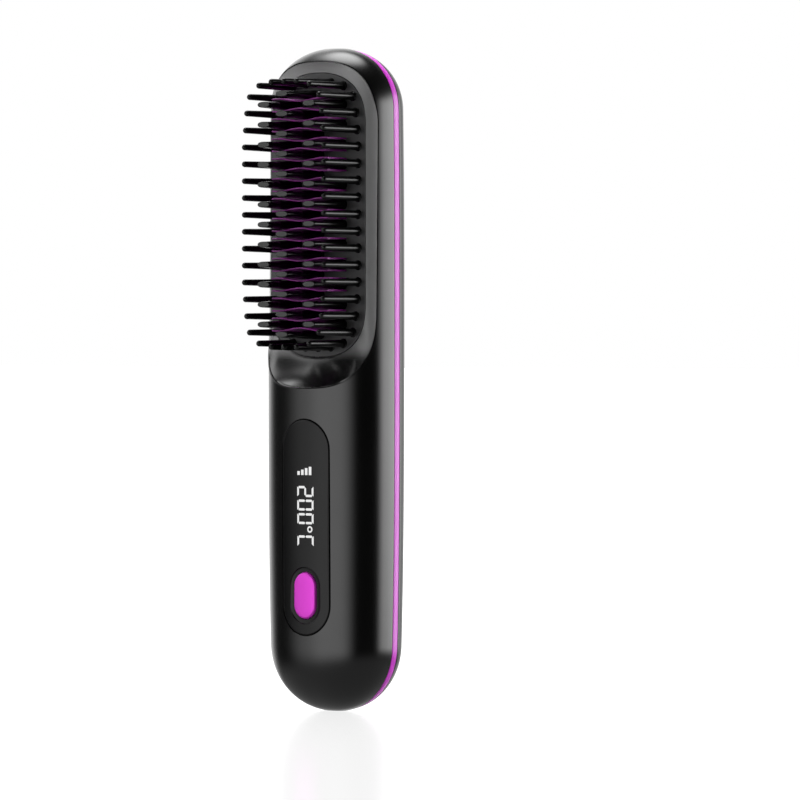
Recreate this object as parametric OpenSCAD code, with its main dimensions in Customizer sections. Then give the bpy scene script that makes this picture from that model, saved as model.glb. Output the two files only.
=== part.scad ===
// Cordless hair straightening brush, standing on its foot.
// Z runs up the body, the teeth point towards -Y, and X runs across.
// The origin is the middle of the foot. "Front" heights are measured from the middle towards -Y.

/* [Body] */
// Length from the foot to the top
body_l = 200; // [190:1:215]
// Width across the body
body_w = 45; // [43:0.5:50]
// Depth from front to rear
body_d = 30; // [30:0.5:34]
// Squareness of the cross section, where 2 is an ellipse
squareness = 2.35; // [2.2:0.05:2.8]
// Height of the rounded lower end
cap_low = 20.2; // [17:0.1:24]
// Height of the rounded upper end
cap_top = 19; // [16:0.1:24]
// Wall of the two shells
wall = 2; // [1.6:0.1:2.2]

/* [Trim band] */
// Width of the band between the shells
band_w = 2.8; // [2:0.1:4]
// How far behind the middle the band's centre lies
band_y = 2; // [1.5:0.1:3]
// Thickness of the band and its tongue
band_t = 0.8; // [0.6:0.1:1.2]

/* [Head] */
// Ledge of the casing beside the head frame
frame_side = 1.5; // [1.1:0.1:2]
// Distance of the head frame from the top of the body
frame_top = 4.2; // [3.5:0.1:5]
// Distance of the head frame from the middle casing screw
frame_rise = 4.7; // [4:0.1:7]
// Thickness of the head frame
frame_t = 2.5; // [1.8:0.1:2.6]
// Width of the head frame's slope at the sides
slope_side = 2.5; // [2.4:0.05:3.2]
// Width of the head frame's slope at the top
slope_top = 3.4; // [3.2:0.1:4.5]
// Length of the scoop between the handle and the comb plate
scoop_l = 9.2; // [8:0.1:11]
// How far the comb plate's face lies below the crown of the body
plate_drop = 6.6; // [6.2:0.1:7]
// Thickness of the comb plate
plate_t = 2.1; // [1.6:0.1:2.4]

/* [Guard pins] */
// Length of the pins above the comb plate
pin_l = 16.6; // [12:0.2:20]
// Radius of a pin at its root
pin_root_r = 1.15; // [0.9:0.05:1.3]
// Radius of a pin at its rounded tip
pin_tip_r = 0.92; // [0.7:0.02:1.1]
// Distance between the pins of a column
pin_pitch = 5.08; // [4.8:0.02:5.2]
// Distance of the pins from the comb plate's edge
pin_inset = 2.9; // [2.6:0.05:3.4]

/* [Heating teeth] */
// Distance between the teeth of a column
tooth_pitch = 6; // [5.8:0.05:6.1]
// Distance of the outer teeth's middle from the window's side
tooth_inset = 3.4; // [3.3:0.1:4]
// Width of a tooth
tooth_w = 4.7; // [4:0.1:5]
// Thickness of a tooth at its root
tooth_t = 3.1; // [2.6:0.1:3.2]
// Thickness of a tooth at its tip
tooth_tip_t = 1.8; // [1.2:0.1:2.2]
// Length of the outer teeth above the comb plate
tooth_outer_l = 15; // [11:0.5:17]
// Length of the middle teeth above the comb plate
tooth_middle_l = 17; // [12:0.5:19]
// Length of the wavy fins above the comb plate
fin_l = 8.6; // [4:0.2:10]
// Thickness of the wavy fins
fin_t = 0.5; // [0.4:0.05:0.6]

/* [Display] */
// Width of the display panel
panel_w = 18.2; // [17:0.1:19]
// Distance of the display panel from the lower end of the board
panel_low_gap = 1.3; // [0.6:0.1:2]
// Distance of the display panel from the middle casing screw
panel_top_gap = 4.9; // [4.6:0.1:6]
// Thickness of the display panel at its crown
panel_t = 2.1; // [1.9:0.05:2.2]
// Height of a character, across the panel
digit_w = 6.35; // [5.5:0.05:7.5]
// Length of a character, along the panel
digit_l = 3.3; // [3:0.1:3.8]
// Width of a lit segment
segment_w = 0.7; // [0.5:0.05:0.9]

/* [Button] */
// Width of the button
button_w = 8.6; // [7:0.1:9.4]
// Length of the button
button_l = 14.1; // [12:0.1:15]
// Distance of the button's centre from the lower end of the panel
button_rise = 11.9; // [11:0.1:13]
// Travel of the button
button_travel = 0.5; // [0.3:0.05:0.6]
// Gap round the button
button_gap = 0.15; // [0.1:0.01:0.3]
// Width of the shallow recess round the button
recess_margin = 1.6; // [1:0.1:2]
// Depth of that recess
recess_depth = 0.45; // [0.3:0.05:0.6]

/* [Battery] */
// Clearance round the cells
cell_gap = 0.05; // [0.05:0.05:0.5]
// Length of a cell
cell_l = 65; // [58:0.5:72]
// Height of the lower end of the cells
cell_z = 21.6; // [21.4:0.1:22]

/* [Screws] */
// Radius of a casing screw's shank
screw_r = 1.1; // [0.9:0.05:1.2]
// Least distance of the upper screw's tip from the insulation pad
screw_tip_room = 1; // [0.8:0.1:2]
// Depth of the screw recesses
screw_depth = 3.4; // [3:0.1:4]
// Height of the lowest casing screw
screw_z_low = 15; // [14.5:0.1:15.2]
// Distance of the middle casing screw from the battery holder
screw_rise = 4.15; // [4:0.05:6]
// Distance of the upper casing screw above the middle of the head
screw_head_dz = 15.25; // [10:0.25:20]

/* [Hidden] */
$fn = 48;
// Shape of the rounded ends and of the barrel sides
cap_power = 2.1;
barrel_drop = 0.049;
barrel_z = 0.56 * body_l;
barrel_reach = 100;
foot_angle = 9;
cap_steps = 8;
side_steps = 7;
half_ring_steps = 24;
// Small gap between pieces that are slid together
fit = 0.1;
hairline = 0.05;
// Overlap of solids that are joined or cut
eps = 0.01;
// Slope that is left at the rim of a half casing
rim_keep = 1.03;
// Front height of the body's crown, and the parts of the depth that are measured from it
crown_h = body_d / 2;
plate_h = crown_h - plate_drop;
panel_back_h = crown_h - panel_t;
board_t = 1;
board_front = panel_back_h - 3.3;
board_h = board_front - board_t;
// Battery holder, cells and what stands above them, from below
tab_t = 0.35;
holder_wall = 1.8;
holder_plate_t = 0.7;
holder_front = board_h - hairline;
holder_lo = cell_z - 2 * hairline - tab_t - holder_wall;
holder_hi = cell_z + cell_l + 2 * hairline + tab_t + holder_wall;
screw_z_mid = holder_hi + screw_rise;
board_lo = cell_z + 0.4;
board_hi = holder_hi - 1.85;
panel_lo = board_lo + panel_low_gap;
panel_hi = screw_z_mid - panel_top_gap;
panel_l = panel_hi - panel_lo;
panel_z = (panel_lo + panel_hi) / 2;
button_z = panel_lo + button_rise;
// Head, from the handle to the top
frame_hw = body_w / 2 - frame_side;
frame_lo = screw_z_mid + frame_rise;
frame_hi = body_l - frame_top;
plate_hw = frame_hw - slope_side;
plate_lo = frame_lo + scoop_l;
plate_hi = frame_hi - slope_top;
plate_hl = (plate_hi - plate_lo) / 2;
head_z = (plate_lo + plate_hi) / 2;
screw_z_top = head_z + screw_head_dz;
pin_h = plate_h + pin_l;
pin_x = plate_hw - pin_inset;
tooth_outer_h = plate_h + tooth_outer_l;
tooth_middle_h = plate_h + tooth_middle_l;
fin_h = plate_h + fin_l;

// Body surface. A surface that lies s inside the outer one has the same form with smaller sizes.
tip_low = -cap_low * (1 - cos(foot_angle));
tip_top = body_l + cap_top * (1 - cos(foot_angle));
function half_w(s) = body_w / 2 - s;
function half_d(s) = body_d / 2 - s;
function barrel(z) = 1 - barrel_drop * pow(abs(z - barrel_z) / barrel_reach, 3);
function cap(tau) = tau <= 0 ? 1 : pow(max(0, 1 - pow(min(tau, 1), cap_power)), 1 / cap_power);
function profile(z, s) = barrel(z)
    * cap(1 - (z - tip_low - s) / (cap_low - s))
    * cap(1 - (tip_top - s - z) / (cap_top - s));
// Half width of the section at height z, at the distance y from the middle
function width_at(y, z, s) =
    let (k = profile(z, s), ratio = min(1, abs(y) / (half_d(s) * k)))
    half_w(s) * k * pow(max(0, 1 - pow(ratio, squareness)), 1 / squareness);
// Front height of the surface at (x, z)
function front_at(x, z, s) =
    let (k = profile(z, s), ratio = min(1, abs(x) / (half_w(s) * k)))
    half_d(s) * k * pow(max(0, 1 - pow(ratio, squareness)), 1 / squareness);

// Angle at which the plane y cuts the end cap, and the heights of the section rows from there
function rim_cos(y, s, end) =
    pow(max(0, 1 - pow(abs(y) / (half_d(s) * barrel(end)), cap_power)), 1 / cap_power);
function rim_angle(y, s, end) = max(foot_angle, acos(rim_cos(y, s, end)));
function low_row(a, s) = tip_low + s + (cap_low - s) * (1 - cos(a));
function top_row(a, s) = tip_top - s - (cap_top - s) * (1 - cos(a));
function rows(a_low, a_top, s) = concat(
    [for (i = [0:cap_steps]) low_row(a_low + (90 - a_low) * i / cap_steps, s)],
    [for (i = [1:side_steps - 1])
        low_row(90, s) + (top_row(90, s) - low_row(90, s)) * i / side_steps],
    [for (i = [cap_steps:-1:0]) top_row(a_top + (90 - a_top) * i / cap_steps, s)]
);

function signed_pow(v, e) = sign(v) * pow(abs(v), e);
function ring_point(a, z, s) = [
    half_w(s) * profile(z, s) * signed_pow(cos(a), 2 / squareness),
    half_d(s) * profile(z, s) * signed_pow(sin(a), 2 / squareness),
    z
];
// One open row of points, from the rim on the +X side to the rim on the -X side
function half_row(z, s, rim_y, side) =
    let (
        y = side * rim_y,
        a0 = asin(signed_pow(y / (half_d(s) * profile(z, s)), squareness / 2))
    )
    [for (i = [0:half_ring_steps])
        let (p = ring_point(a0 + (180 - 2 * a0) * i / half_ring_steps, z, s))
        [p[0], side * p[1], z]];

// Grid faces between n rows of m points that start at point k
function grid(n, m, k, flip) = [
    for (i = [0:n - 2], j = [0:m - 2], t = [0, 1])
        let (
            a = k + i * m + j,
            f = t == 0 ? [a, a + 1, a + m + 1] : [a, a + m + 1, a + m]
        )
        flip ? [f[2], f[1], f[0]] : f
];
function reversed(list) = [for (i = [len(list) - 1:-1:0]) list[i]];
function turned(faces, flip) = [for (f = faces) flip ? reversed(f) : f];

// Half of a hollow casing, cut by the plane y = rim_y, in front of it (side -1) or behind it (side 1)
module half_casing(rim_y, side, thickness) {
    y_cut = side * rim_y;
    rim = max(0, y_cut) * rim_keep;
    outer_z = rows(rim_angle(rim, 0, 0), rim_angle(rim, 0, body_l), 0);
    inner_z = rows(rim_angle(rim, thickness, 0), rim_angle(rim, thickness, body_l), thickness);
    n = len(outer_z);
    m = half_ring_steps + 1;
    points = concat(
        [for (z = outer_z) each half_row(z, 0, rim_y, side)],
        [for (z = inner_z) each half_row(z, thickness, rim_y, side)]
    );
    k = n * m;
    last = (n - 1) * m;
    faces = concat(
        grid(n, m, 0, false),
        grid(n, m, k, true),
        [[for (j = [m - 1:-1:0]) j]],
        [[for (j = [0:m - 1]) last + j]],
        [[for (j = [0:m - 1]) k + j]],
        [[for (j = [m - 1:-1:0]) k + last + j]],
        [for (i = [0:n - 2]) each [
            [i * m, (i + 1) * m, k + (i + 1) * m],
            [i * m, k + (i + 1) * m, k + i * m],
            [i * m + m - 1, k + (i + 1) * m + m - 1, (i + 1) * m + m - 1],
            [i * m + m - 1, k + i * m + m - 1, k + (i + 1) * m + m - 1]
        ]],
        [[0, k, k + m - 1], [0, k + m - 1, m - 1]],
        [[last, last + m - 1, k + last + m - 1], [last, k + last + m - 1, k + last]]
    );
    polyhedron(points, turned(faces, side > 0), convexity = 10);
}

// Point of a closed outline in a plane y, for the band: station 0 is the lowest, on the +X side
function band_point(y, s, i, count) =
    let (
        a_low = acos(rim_cos(y, s, 0)),
        a_top = acos(rim_cos(y, s, body_l)),
        z_list = [
            for (j = [0:cap_steps]) low_row(a_low + (90 - a_low) * j / cap_steps, s),
            for (j = [1:side_steps - 1])
                low_row(90, s) + (top_row(90, s) - low_row(90, s)) * j / side_steps,
            for (j = [cap_steps:-1:0]) top_row(a_top + (90 - a_top) * j / cap_steps, s)
        ],
        right = i < count,
        z = z_list[right ? i : 2 * (count - 1) - i],
        tip = i == 0 || i == count - 1
    )
    [(right ? 1 : -1) * (tip ? 0 : width_at(y, z, s)), y, min(body_l, max(0, z))];

// Ring that follows the outline, with the given corners [y, s] in order round its section
module outline_ring(corners) {
    count = 2 * cap_steps + side_steps + 1;
    stations = 2 * (count - 1);
    m = len(corners);
    points = [for (i = [0:stations - 1]) each [for (c = corners) band_point(c[0], c[1], i, count)]];
    faces = [for (i = [0:stations - 1], j = [0:m - 1])
        let (
            a = i * m + j,
            b = i * m + (j + 1) % m,
            c = ((i + 1) % stations) * m + (j + 1) % m,
            d = ((i + 1) % stations) * m + j
        )
        each [[a, c, b], [a, d, c]]];
    polyhedron(points, faces, convexity = 10);
}

// Rounded outline in (x, z) between two heights, with its own end lengths and squareness
outline_steps = 9;
function outline(hw, lo, hi, c_lo, c_hi, n_lo, n_hi) = concat(
    [for (i = [0:outline_steps]) let (a = 90 * i / outline_steps)
        [hw * pow(cos(a), 2 / n_hi), hi - c_hi + c_hi * pow(sin(a), 2 / n_hi)]],
    [for (i = [outline_steps - 1:-1:0]) let (a = 90 * i / outline_steps)
        [-hw * pow(cos(a), 2 / n_hi), hi - c_hi + c_hi * pow(sin(a), 2 / n_hi)]],
    [for (i = [0:outline_steps]) let (a = 90 * i / outline_steps)
        [-hw * pow(cos(a), 2 / n_lo), lo + c_lo - c_lo * pow(sin(a), 2 / n_lo)]],
    [for (i = [outline_steps - 1:-1:0]) let (a = 90 * i / outline_steps)
        [hw * pow(cos(a), 2 / n_lo), lo + c_lo - c_lo * pow(sin(a), 2 / n_lo)]]
);
// Outlines of the head frame and of the comb plate, grown by g on every side, and the length
// and squareness of their lower and upper ends
frame_ends = [25.6, 20.5];
frame_square = [3.2, 2.66];
plate_ends = [16.8, 16];
plate_square = [2.5, 2.3];
function frame_outline(g) = outline(frame_hw + g, frame_lo - g, frame_hi + g,
    frame_ends[0], frame_ends[1], frame_square[0], frame_square[1]);
function plate_outline(g) = outline(plate_hw + g, plate_lo - g, plate_hi + g,
    plate_ends[0], plate_ends[1], plate_square[0], plate_square[1]);

// A flat shape drawn in (x, z), standing between two front heights
module forward(h0, h1) {
    translate([0, -h0, 0]) rotate([90, 0, 0]) linear_extrude(h1 - h0) children();
}
// A round bar along Y between two front heights
module forward_bar(x, z, r, h0, h1) {
    translate([x, -h0, z]) rotate([90, 0, 0]) cylinder(r = r, h = h1 - h0);
}
module forward_cone(x, z, r0, r1, h0, h1) {
    translate([x, -h0, z]) rotate([90, 0, 0]) cylinder(r1 = r0, r2 = r1, h = h1 - h0);
}
// A block between two corners [x, front height, z]
module block(a, b) {
    translate([a[0], -b[1], a[2]]) cube([b[0] - a[0], b[1] - a[1], b[2] - a[2]]);
}
// A stadium in (x, z), upright, with its centre at height z
module stadium(w, l, z) {
    for (s = [-1, 1]) translate([0, z + s * (l - w) / 2]) circle(d = w);
    translate([-w / 2, z - (l - w) / 2]) square([w, l - w]);
}
// A wire of radius r through the points, with slightly swollen bends
bend_swell = 1.05;
module wire(points, r) {
    for (i = [0:len(points) - 2]) {
        v = points[i + 1] - points[i];
        translate(points[i])
            rotate([0, acos(v[2] / norm(v)), atan2(v[1], v[0])])
            cylinder(r = r, h = norm(v));
    }
    for (i = [1:len(points) - 2]) translate(points[i]) sphere(r = r * bend_swell);
}

// Casing
front_rim = band_y - band_w / 2;
rear_rim = band_y + band_w / 2;
boss_r = 3;
boss_meet = crown_h - 9.5;
screw_zs = [screw_z_low, screw_z_mid, screw_z_top];
function seat_y(z) = front_at(0, z, 0) - screw_depth;
// Play round a screw's shank and head, and spare depth of a screw hole
screw_play = 0.15;
head_play = 0.2;
hole_spare = 1;
screw_head_r = 2.1;
screw_head_t = 1.4;
// Pad behind the display panel, and the window through it
window_margin = 1.3;
pad_h = panel_back_h - 1.4;
pad_margin = 1.2;
// Front height of the ledge under the head frame
frame_seat = plate_h - 5.6;

module front_shell() color([0.09, 0.09, 0.095]) difference() {
    union() {
        half_casing(front_rim, -1, wall);
        forward(pad_h, panel_back_h) stadium(panel_w + 2 * pad_margin, panel_l + 2 * pad_margin, panel_z);
        for (z = [screw_z_low, screw_z_mid])
            forward_bar(0, z, boss_r, -boss_meet, front_at(0, z, wall) + wall / 2);
    }
    forward(frame_seat, body_d) polygon(frame_outline(fit));
    forward(panel_back_h, body_d) stadium(panel_w + 2 * fit, panel_l + 2 * fit, panel_z);
    forward(pad_h - eps, panel_back_h + eps)
        stadium(panel_w - 2 * window_margin, panel_l - 2 * window_margin, panel_z);
    for (z = [screw_z_low, screw_z_mid])
        forward_bar(0, z, screw_r + hairline, -boss_meet - eps, screw_l - seat_y(z) + hole_spare);
}

// Charging port: distance behind the middle, size, and height of its mouth
port_y = 6.3;
port_w = 9;
port_t = 3.3;
port_l = 7.3;
port_mouth_z = 2.6;
port_play = 0.15;
port_margin = 0.3;

module rear_shell() color([0.16, 0.16, 0.165]) difference() {
    union() {
        half_casing(rear_rim, 1, wall);
        for (z = screw_zs)
            forward_bar(0, z, boss_r, -front_at(0, z, wall) - wall / 2, -boss_meet - fit);
    }
    for (z = screw_zs) {
        forward_bar(0, z, screw_r + screw_play, -body_d, 0);
        forward_bar(0, z, screw_head_r + head_play, -body_d, -seat_y(z));
    }
    translate([0, port_y, 0]) linear_extrude(cap_low / 2) port_outline(port_play);
}

// Reach of the band's tongues into the shells, and the play outside them
tongue = 1.1;
tongue_play = 0.24;
module trim_band() color([0.95, 0.42, 0.93]) difference() {
    s_out = wall + tongue_play;
    s_in = s_out + band_t;
    outline_ring([
        [front_rim, 0], [rear_rim, 0], [rear_rim, s_out], [rear_rim + tongue, s_out],
        [rear_rim + tongue, s_in], [front_rim - tongue, s_in],
        [front_rim - tongue, s_out], [front_rim, s_out]
    ]);
    translate([-port_w / 2 - port_margin, rear_rim + hairline, 0])
        cube([port_w + 2 * port_margin, tongue, cap_low / 2]);
}

// Head
frame_rim = frame_outline(0);
frame_lip = plate_outline(fit);
function rim_point(i) =
    [frame_rim[i][0], -front_at(frame_rim[i][0], frame_rim[i][1], 0), frame_rim[i][1]];
function lip_point(i) = [frame_lip[i][0], -plate_h, frame_lip[i][1]];
// The frame is flat where it slopes outwards and hollow where it climbs to the handle
scoop_rise = 0.08;
scoop_pull = 0.2;
function knee_point(i) =
    let (a = lip_point(i), b = rim_point(i), climb = a[1] - b[1])
    [
        (a[0] + b[0]) / 2,
        climb > 0 ? a[1] - scoop_rise * climb : (a[1] + b[1]) / 2,
        (a[2] + b[2]) / 2 - (climb > 0 ? scoop_pull * (a[2] - b[2]) : 0)
    ];
function frame_bend(i, t) =
    (1 - t) * (1 - t) * rim_point(i) + 2 * t * (1 - t) * knee_point(i) + t * t * lip_point(i);

module head_frame() color([0.3, 0.3, 0.31]) {
    bend_steps = 4;
    stations = len(frame_rim);
    m = 2 * (bend_steps + 1);
    points = [for (i = [0:stations - 1]) each concat(
        [for (j = [0:bend_steps]) frame_bend(i, j / bend_steps)],
        [for (j = [bend_steps:-1:0]) frame_bend(i, j / bend_steps) + [0, frame_t, 0]]
    )];
    faces = [for (i = [0:stations - 1], j = [0:m - 1])
        let (
            a = i * m + j,
            b = i * m + (j + 1) % m,
            c = ((i + 1) % stations) * m + (j + 1) % m,
            d = ((i + 1) % stations) * m + j
        )
        each [[a, b, c], [a, c, d]]];
    polyhedron(points, faces, convexity = 10);
}

plate_low_h = plate_h - plate_t;
// Skirt of the comb, and the flange on it that bears on the frame from behind
skirt_t = 1.3;
skirt_h = plate_low_h - 4;
flange_w = 0.7;
flange_t = 1;
flange_top = plate_h - frame_t - 0.85;
// Window for the heating plate
window_side = 6.2;
window_end = 4.35;
window_hw = plate_hw - window_side;
window_hl = plate_hl - window_end;
window_corner = 4;
// Pins round each end of the plate, as [x, distance from the plate's end], and along its sides
end_pins = [
    [0, 2.95], [5, 3.05], [9.9, 4.05], [pin_x - 2, 7.35], [pin_x - 0.9, 12.25], [pin_x - 0.4, 17.35]
];
side_reach = plate_hl - end_pins[len(end_pins) - 1][1];
side_count = round(side_reach / pin_pitch) - 1;
side_step = side_reach / (side_count + 1);
side_pins = [for (i = [-side_count:side_count]) [pin_x, i * side_step]];
// Screws that hold the heating parts to the comb
heater_screw_dz = window_hl - 10.4;
heater_screw_x = pin_x + 0.1;
heater_boss_r = 1.9;
heater_screw_r = 0.8;
heater_head_r = 1.5;
heater_head_t = 0.9;
heater_head_h = plate_h - 8.4;
heater_screw_h = plate_h - 1.8;
// Leads, and the slot for them in the skirt
lead_r = 0.55;
lead_x = 4.5;
lead_h = plate_h - 4.8;
lead_slot = 2;

module guard_pin(x, z) {
    forward_cone(x, z, pin_root_r, pin_tip_r, plate_h, pin_h - pin_tip_r);
    translate([x, -(pin_h - pin_tip_r), z]) sphere(r = pin_tip_r);
}
module heating_window(g) {
    flat_x = window_hw - window_corner;
    flat_z = window_hl - window_corner;
    for (s = [-1, 1], t = [-1, 1])
        translate([s * flat_x, head_z + t * flat_z]) circle(r = window_corner + g);
    translate([-window_hw - g, head_z - flat_z]) square([2 * (window_hw + g), 2 * flat_z]);
    translate([-flat_x, head_z - window_hl - g]) square([2 * flat_x, 2 * (window_hl + g)]);
}
module guard_comb() color([0.13, 0.13, 0.135]) difference() {
    union() {
        forward(plate_low_h, plate_h) polygon(plate_outline(0));
        difference() {
            union() {
                forward(skirt_h, plate_low_h + eps) polygon(plate_outline(0));
                forward(flange_top - flange_t, flange_top) polygon(plate_outline(flange_w));
            }
            forward(0, plate_low_h) polygon(plate_outline(-skirt_t));
            block([-lead_x - lead_slot, 0, 0],
                [lead_x + lead_slot, lead_h + lead_slot / 2, head_z - window_hl]);
        }
        for (x = [-1, 1], z = [-1, 1])
            forward_bar(x * heater_screw_x, head_z + z * heater_screw_dz, heater_boss_r,
                heater_seat + hairline, plate_low_h + eps);
    }
    forward(0, body_d) heating_window(fit);
    for (x = [-1, 1], z = [-1, 1])
        forward_bar(x * heater_screw_x, head_z + z * heater_screw_dz, heater_screw_r + hairline,
            0, plate_low_h + hole_spare);
}
// The pins stand on the comb plate
module guard_pins() color([0.06, 0.06, 0.065]) {
    for (p = side_pins, x = [-1, 1]) guard_pin(x * p[0], head_z + p[1]);
    for (p = end_pins, z = [-1, 1], x = p[0] == 0 ? [1] : [-1, 1])
        guard_pin(x * p[0], head_z + z * (plate_hl - p[1]));
}

// Heating parts, from the fins back to the holder
land_drop = 0.2;
land_h = plate_h - land_drop;
base_h = plate_low_h - fit;
heater_seat = base_h - 2;
base_margin = 1.3;
row_pitch = tooth_pitch / 2;
tooth_rows = 2 * floor(window_hl / row_pitch) + 1;
tooth_x = window_hw - tooth_inset;
fin_margin = 1.3;
fin_reach = window_hw - fin_margin;
fin_wave = 0.4;
post_r = 0.6;
post_h = plate_h + 5.6;
function row_z(i) = head_z + (i - (tooth_rows - 1) / 2) * row_pitch;
teeth = [for (i = [0:tooth_rows - 1]) each
    i % 2 == 0
        ? [[0, row_z(i), tooth_middle_h]]
        : [[-tooth_x, row_z(i), tooth_outer_h], [tooth_x, row_z(i), tooth_outer_h]]];

module wavy_fin(z, up) {
    steps = 16;
    xs = [for (i = [0:steps]) -fin_reach + 2 * fin_reach * i / steps];
    function middle(x) = z + up * fin_wave * cos(180 * x / tooth_x);
    polygon(concat(
        [for (x = xs) [x, middle(x) - fin_t / 2]],
        [for (x = reversed(xs)) [x, middle(x) + fin_t / 2]]
    ));
}
module heating_plate() color([0.75, 0.2, 0.7]) {
    forward(heater_seat, base_h) intersection() {
        heating_window(base_margin);
        polygon(plate_outline(-skirt_t - fit));
    }
    forward(base_h - eps, land_h) heating_window(0);
    forward(land_h - eps, fin_h) for (i = [0:tooth_rows - 2])
        wavy_fin(row_z(i) + row_pitch / 2, i % 2 == 0 ? 1 : -1);
    for (t = teeth) forward_bar(t[0], t[1], post_r, land_h - eps, post_h);
}

// One tooth: an oval bar that thins towards its flat tip, hollow for the plate's post
module heating_tooth(x, z, h) {
    root = land_h + hairline;
    difference() {
        intersection() {
            forward(root, h) translate([x, z]) {
                for (s = [-1, 1]) translate([s * (tooth_w - tooth_t) / 2, 0]) circle(d = tooth_t);
                square([tooth_w - tooth_t, tooth_t], center = true);
            }
            translate([x - tooth_w, 0, z]) rotate([90, 0, 90]) linear_extrude(2 * tooth_w) polygon([
                [-root + eps, -tooth_t / 2 - eps], [-h, -tooth_tip_t / 2],
                [-h, tooth_tip_t / 2], [-root + eps, tooth_t / 2 + eps]
            ]);
        }
        forward_bar(x, z, post_r + hairline, root - 1, post_h + hairline);
    }
}
module heating_teeth() color([0.06, 0.06, 0.065]) for (t = teeth) heating_tooth(t[0], t[1], t[2]);

heater_t = 1.2;
heater_hw = window_hw - 5.3;
heater_hl = window_hl - 2.4;
mica_t = 0.5;
pad_t = 3;
pocket_hw = window_hw - 1.1;
pocket_hl = heater_hl + 1;
holder_gap = 0.25;
holder_floor = 1.4;
heater_low = heater_seat - heater_t;
mica_low = heater_low - mica_t;
pad_low = mica_low - pad_t;
holder_low = pad_low - holder_floor;
// Shank of the casing screws, in steps of half a millimetre
screw_l = round(2 * (seat_y(screw_z_top) + pad_low - screw_tip_room)) / 2;

module ceramic_heater() color([0.93, 0.92, 0.88])
    block([-heater_hw, heater_low, head_z - heater_hl], [heater_hw, heater_seat, head_z + heater_hl]);
module mica_sheet() color([0.72, 0.62, 0.42])
    block([-pocket_hw + fit, mica_low, head_z - pocket_hl + fit],
        [pocket_hw - fit, heater_low, head_z + pocket_hl - fit]);

sensor_x = 4;
sensor_r = 1.1;
sensor_l = 4;
fuse_r = 1.2;
fuse_l = 9;
module insulation_pad() color([0.85, 0.85, 0.82]) difference() {
    block([-pocket_hw + fit, pad_low, head_z - pocket_hl + fit],
        [pocket_hw - fit, mica_low, head_z + pocket_hl - fit]);
    block([sensor_x - sensor_r - fit, pad_low - 1, head_z - sensor_l / 2 - fit],
        [sensor_x + sensor_r + fit, mica_low + 1, head_z + sensor_l / 2 + fit]);
    block([-sensor_x - fuse_r - fit, pad_low - 1, head_z - fuse_l / 2 - fit],
        [-sensor_x + fuse_r + fit, mica_low + 1, head_z + fuse_l / 2 + fit]);
}
module thermistor() color([0.15, 0.3, 0.15])
    translate([sensor_x, -mica_low + sensor_r, head_z - sensor_l / 2]) cylinder(r = sensor_r, h = sensor_l);
module thermal_fuse() color([0.8, 0.78, 0.72])
    translate([-sensor_x, -mica_low + fuse_r, head_z - fuse_l / 2]) cylinder(r = fuse_r, h = fuse_l);

module heater_holder() color([0.8, 0.77, 0.68]) difference() {
    union() {
        forward(holder_low, heater_seat) polygon(plate_outline(-skirt_t - holder_gap));
        forward_bar(0, screw_z_top, boss_r, -boss_meet, holder_low + eps);
    }
    block([-pocket_hw, pad_low, head_z - pocket_hl], [pocket_hw, body_d, head_z + pocket_hl]);
    for (x = [-1, 1], z = [-1, 1]) {
        forward_bar(x * heater_screw_x, head_z + z * heater_screw_dz, heater_screw_r + fit,
            holder_low - 1, body_d);
        forward_bar(x * heater_screw_x, head_z + z * heater_screw_dz, heater_head_r + fit,
            holder_low - eps, heater_head_h);
    }
    for (x = [-1, 1]) block([x * lead_x - lead_r - fit, lead_h - lead_r - fit, plate_lo],
        [x * lead_x + lead_r + fit, body_d, head_z - pocket_hl + eps]);
    forward_bar(0, screw_z_top, screw_r + hairline, -boss_meet - eps,
        screw_l - seat_y(screw_z_top) + fit);
}
module heater_screws() color([0.7, 0.7, 0.72]) for (x = [-1, 1], z = [-1, 1]) {
    forward_bar(x * heater_screw_x, head_z + z * heater_screw_dz, heater_screw_r,
        heater_head_h - eps, heater_screw_h);
    forward_bar(x * heater_screw_x, head_z + z * heater_screw_dz, heater_head_r,
        heater_head_h - heater_head_t, heater_head_h);
}

// Board and display
board_hw = 10.5;
board_screw_zs = [board_lo + 2.5, board_hi - 2.8];
board_screw_r = 0.7;
board_screw_l = 5;
board_head_r = 1.3;
board_head_t = 0.8;
// Half width and top of the lit module, and its length
module_hw = 4.5;
module_hi = panel_z + 18.8;
module_l = 26;
// Parts on the board: distance of their inner side from the centre line, size and heights
chip_x = 2.5;
chip_w = 6;
chip_t = 0.9;
chip_gap = 2;
chip_z = module_hi + chip_gap;
transistor_l = 3;
transistor_t = 1.2;
transistor_step = 4;

// Lit characters, read from top to bottom with the object upright
first_digit_z = panel_z + 12.45;
digit_x = 0.45;
digit_step = 4.08;
letter_place = 3.64;
// Degree ring, as [x, height], with its radii and the bridge that holds its middle
ring_at = [2.2, panel_z - 0.55];
ring_r = 1;
ring_hole_r = 0.52;
ring_bridge = 0.2;
// Bars over the characters
bars = [1.15, 1.6, 2.1, 2.5];
bar_x = -2.65;
bar_w = 1;
bar_step = 1.5;
bar_z = panel_z + 15.75;
// Part of its width by which a lit segment is shortened, at its point and at its shoulders
point_trim = 0.1;
shoulder_trim = 0.55;
// The same for the long outer side of the first and the last segment, and for their inner side
outer_reach = 0.3;
inner_trim = 0.6;

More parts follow.
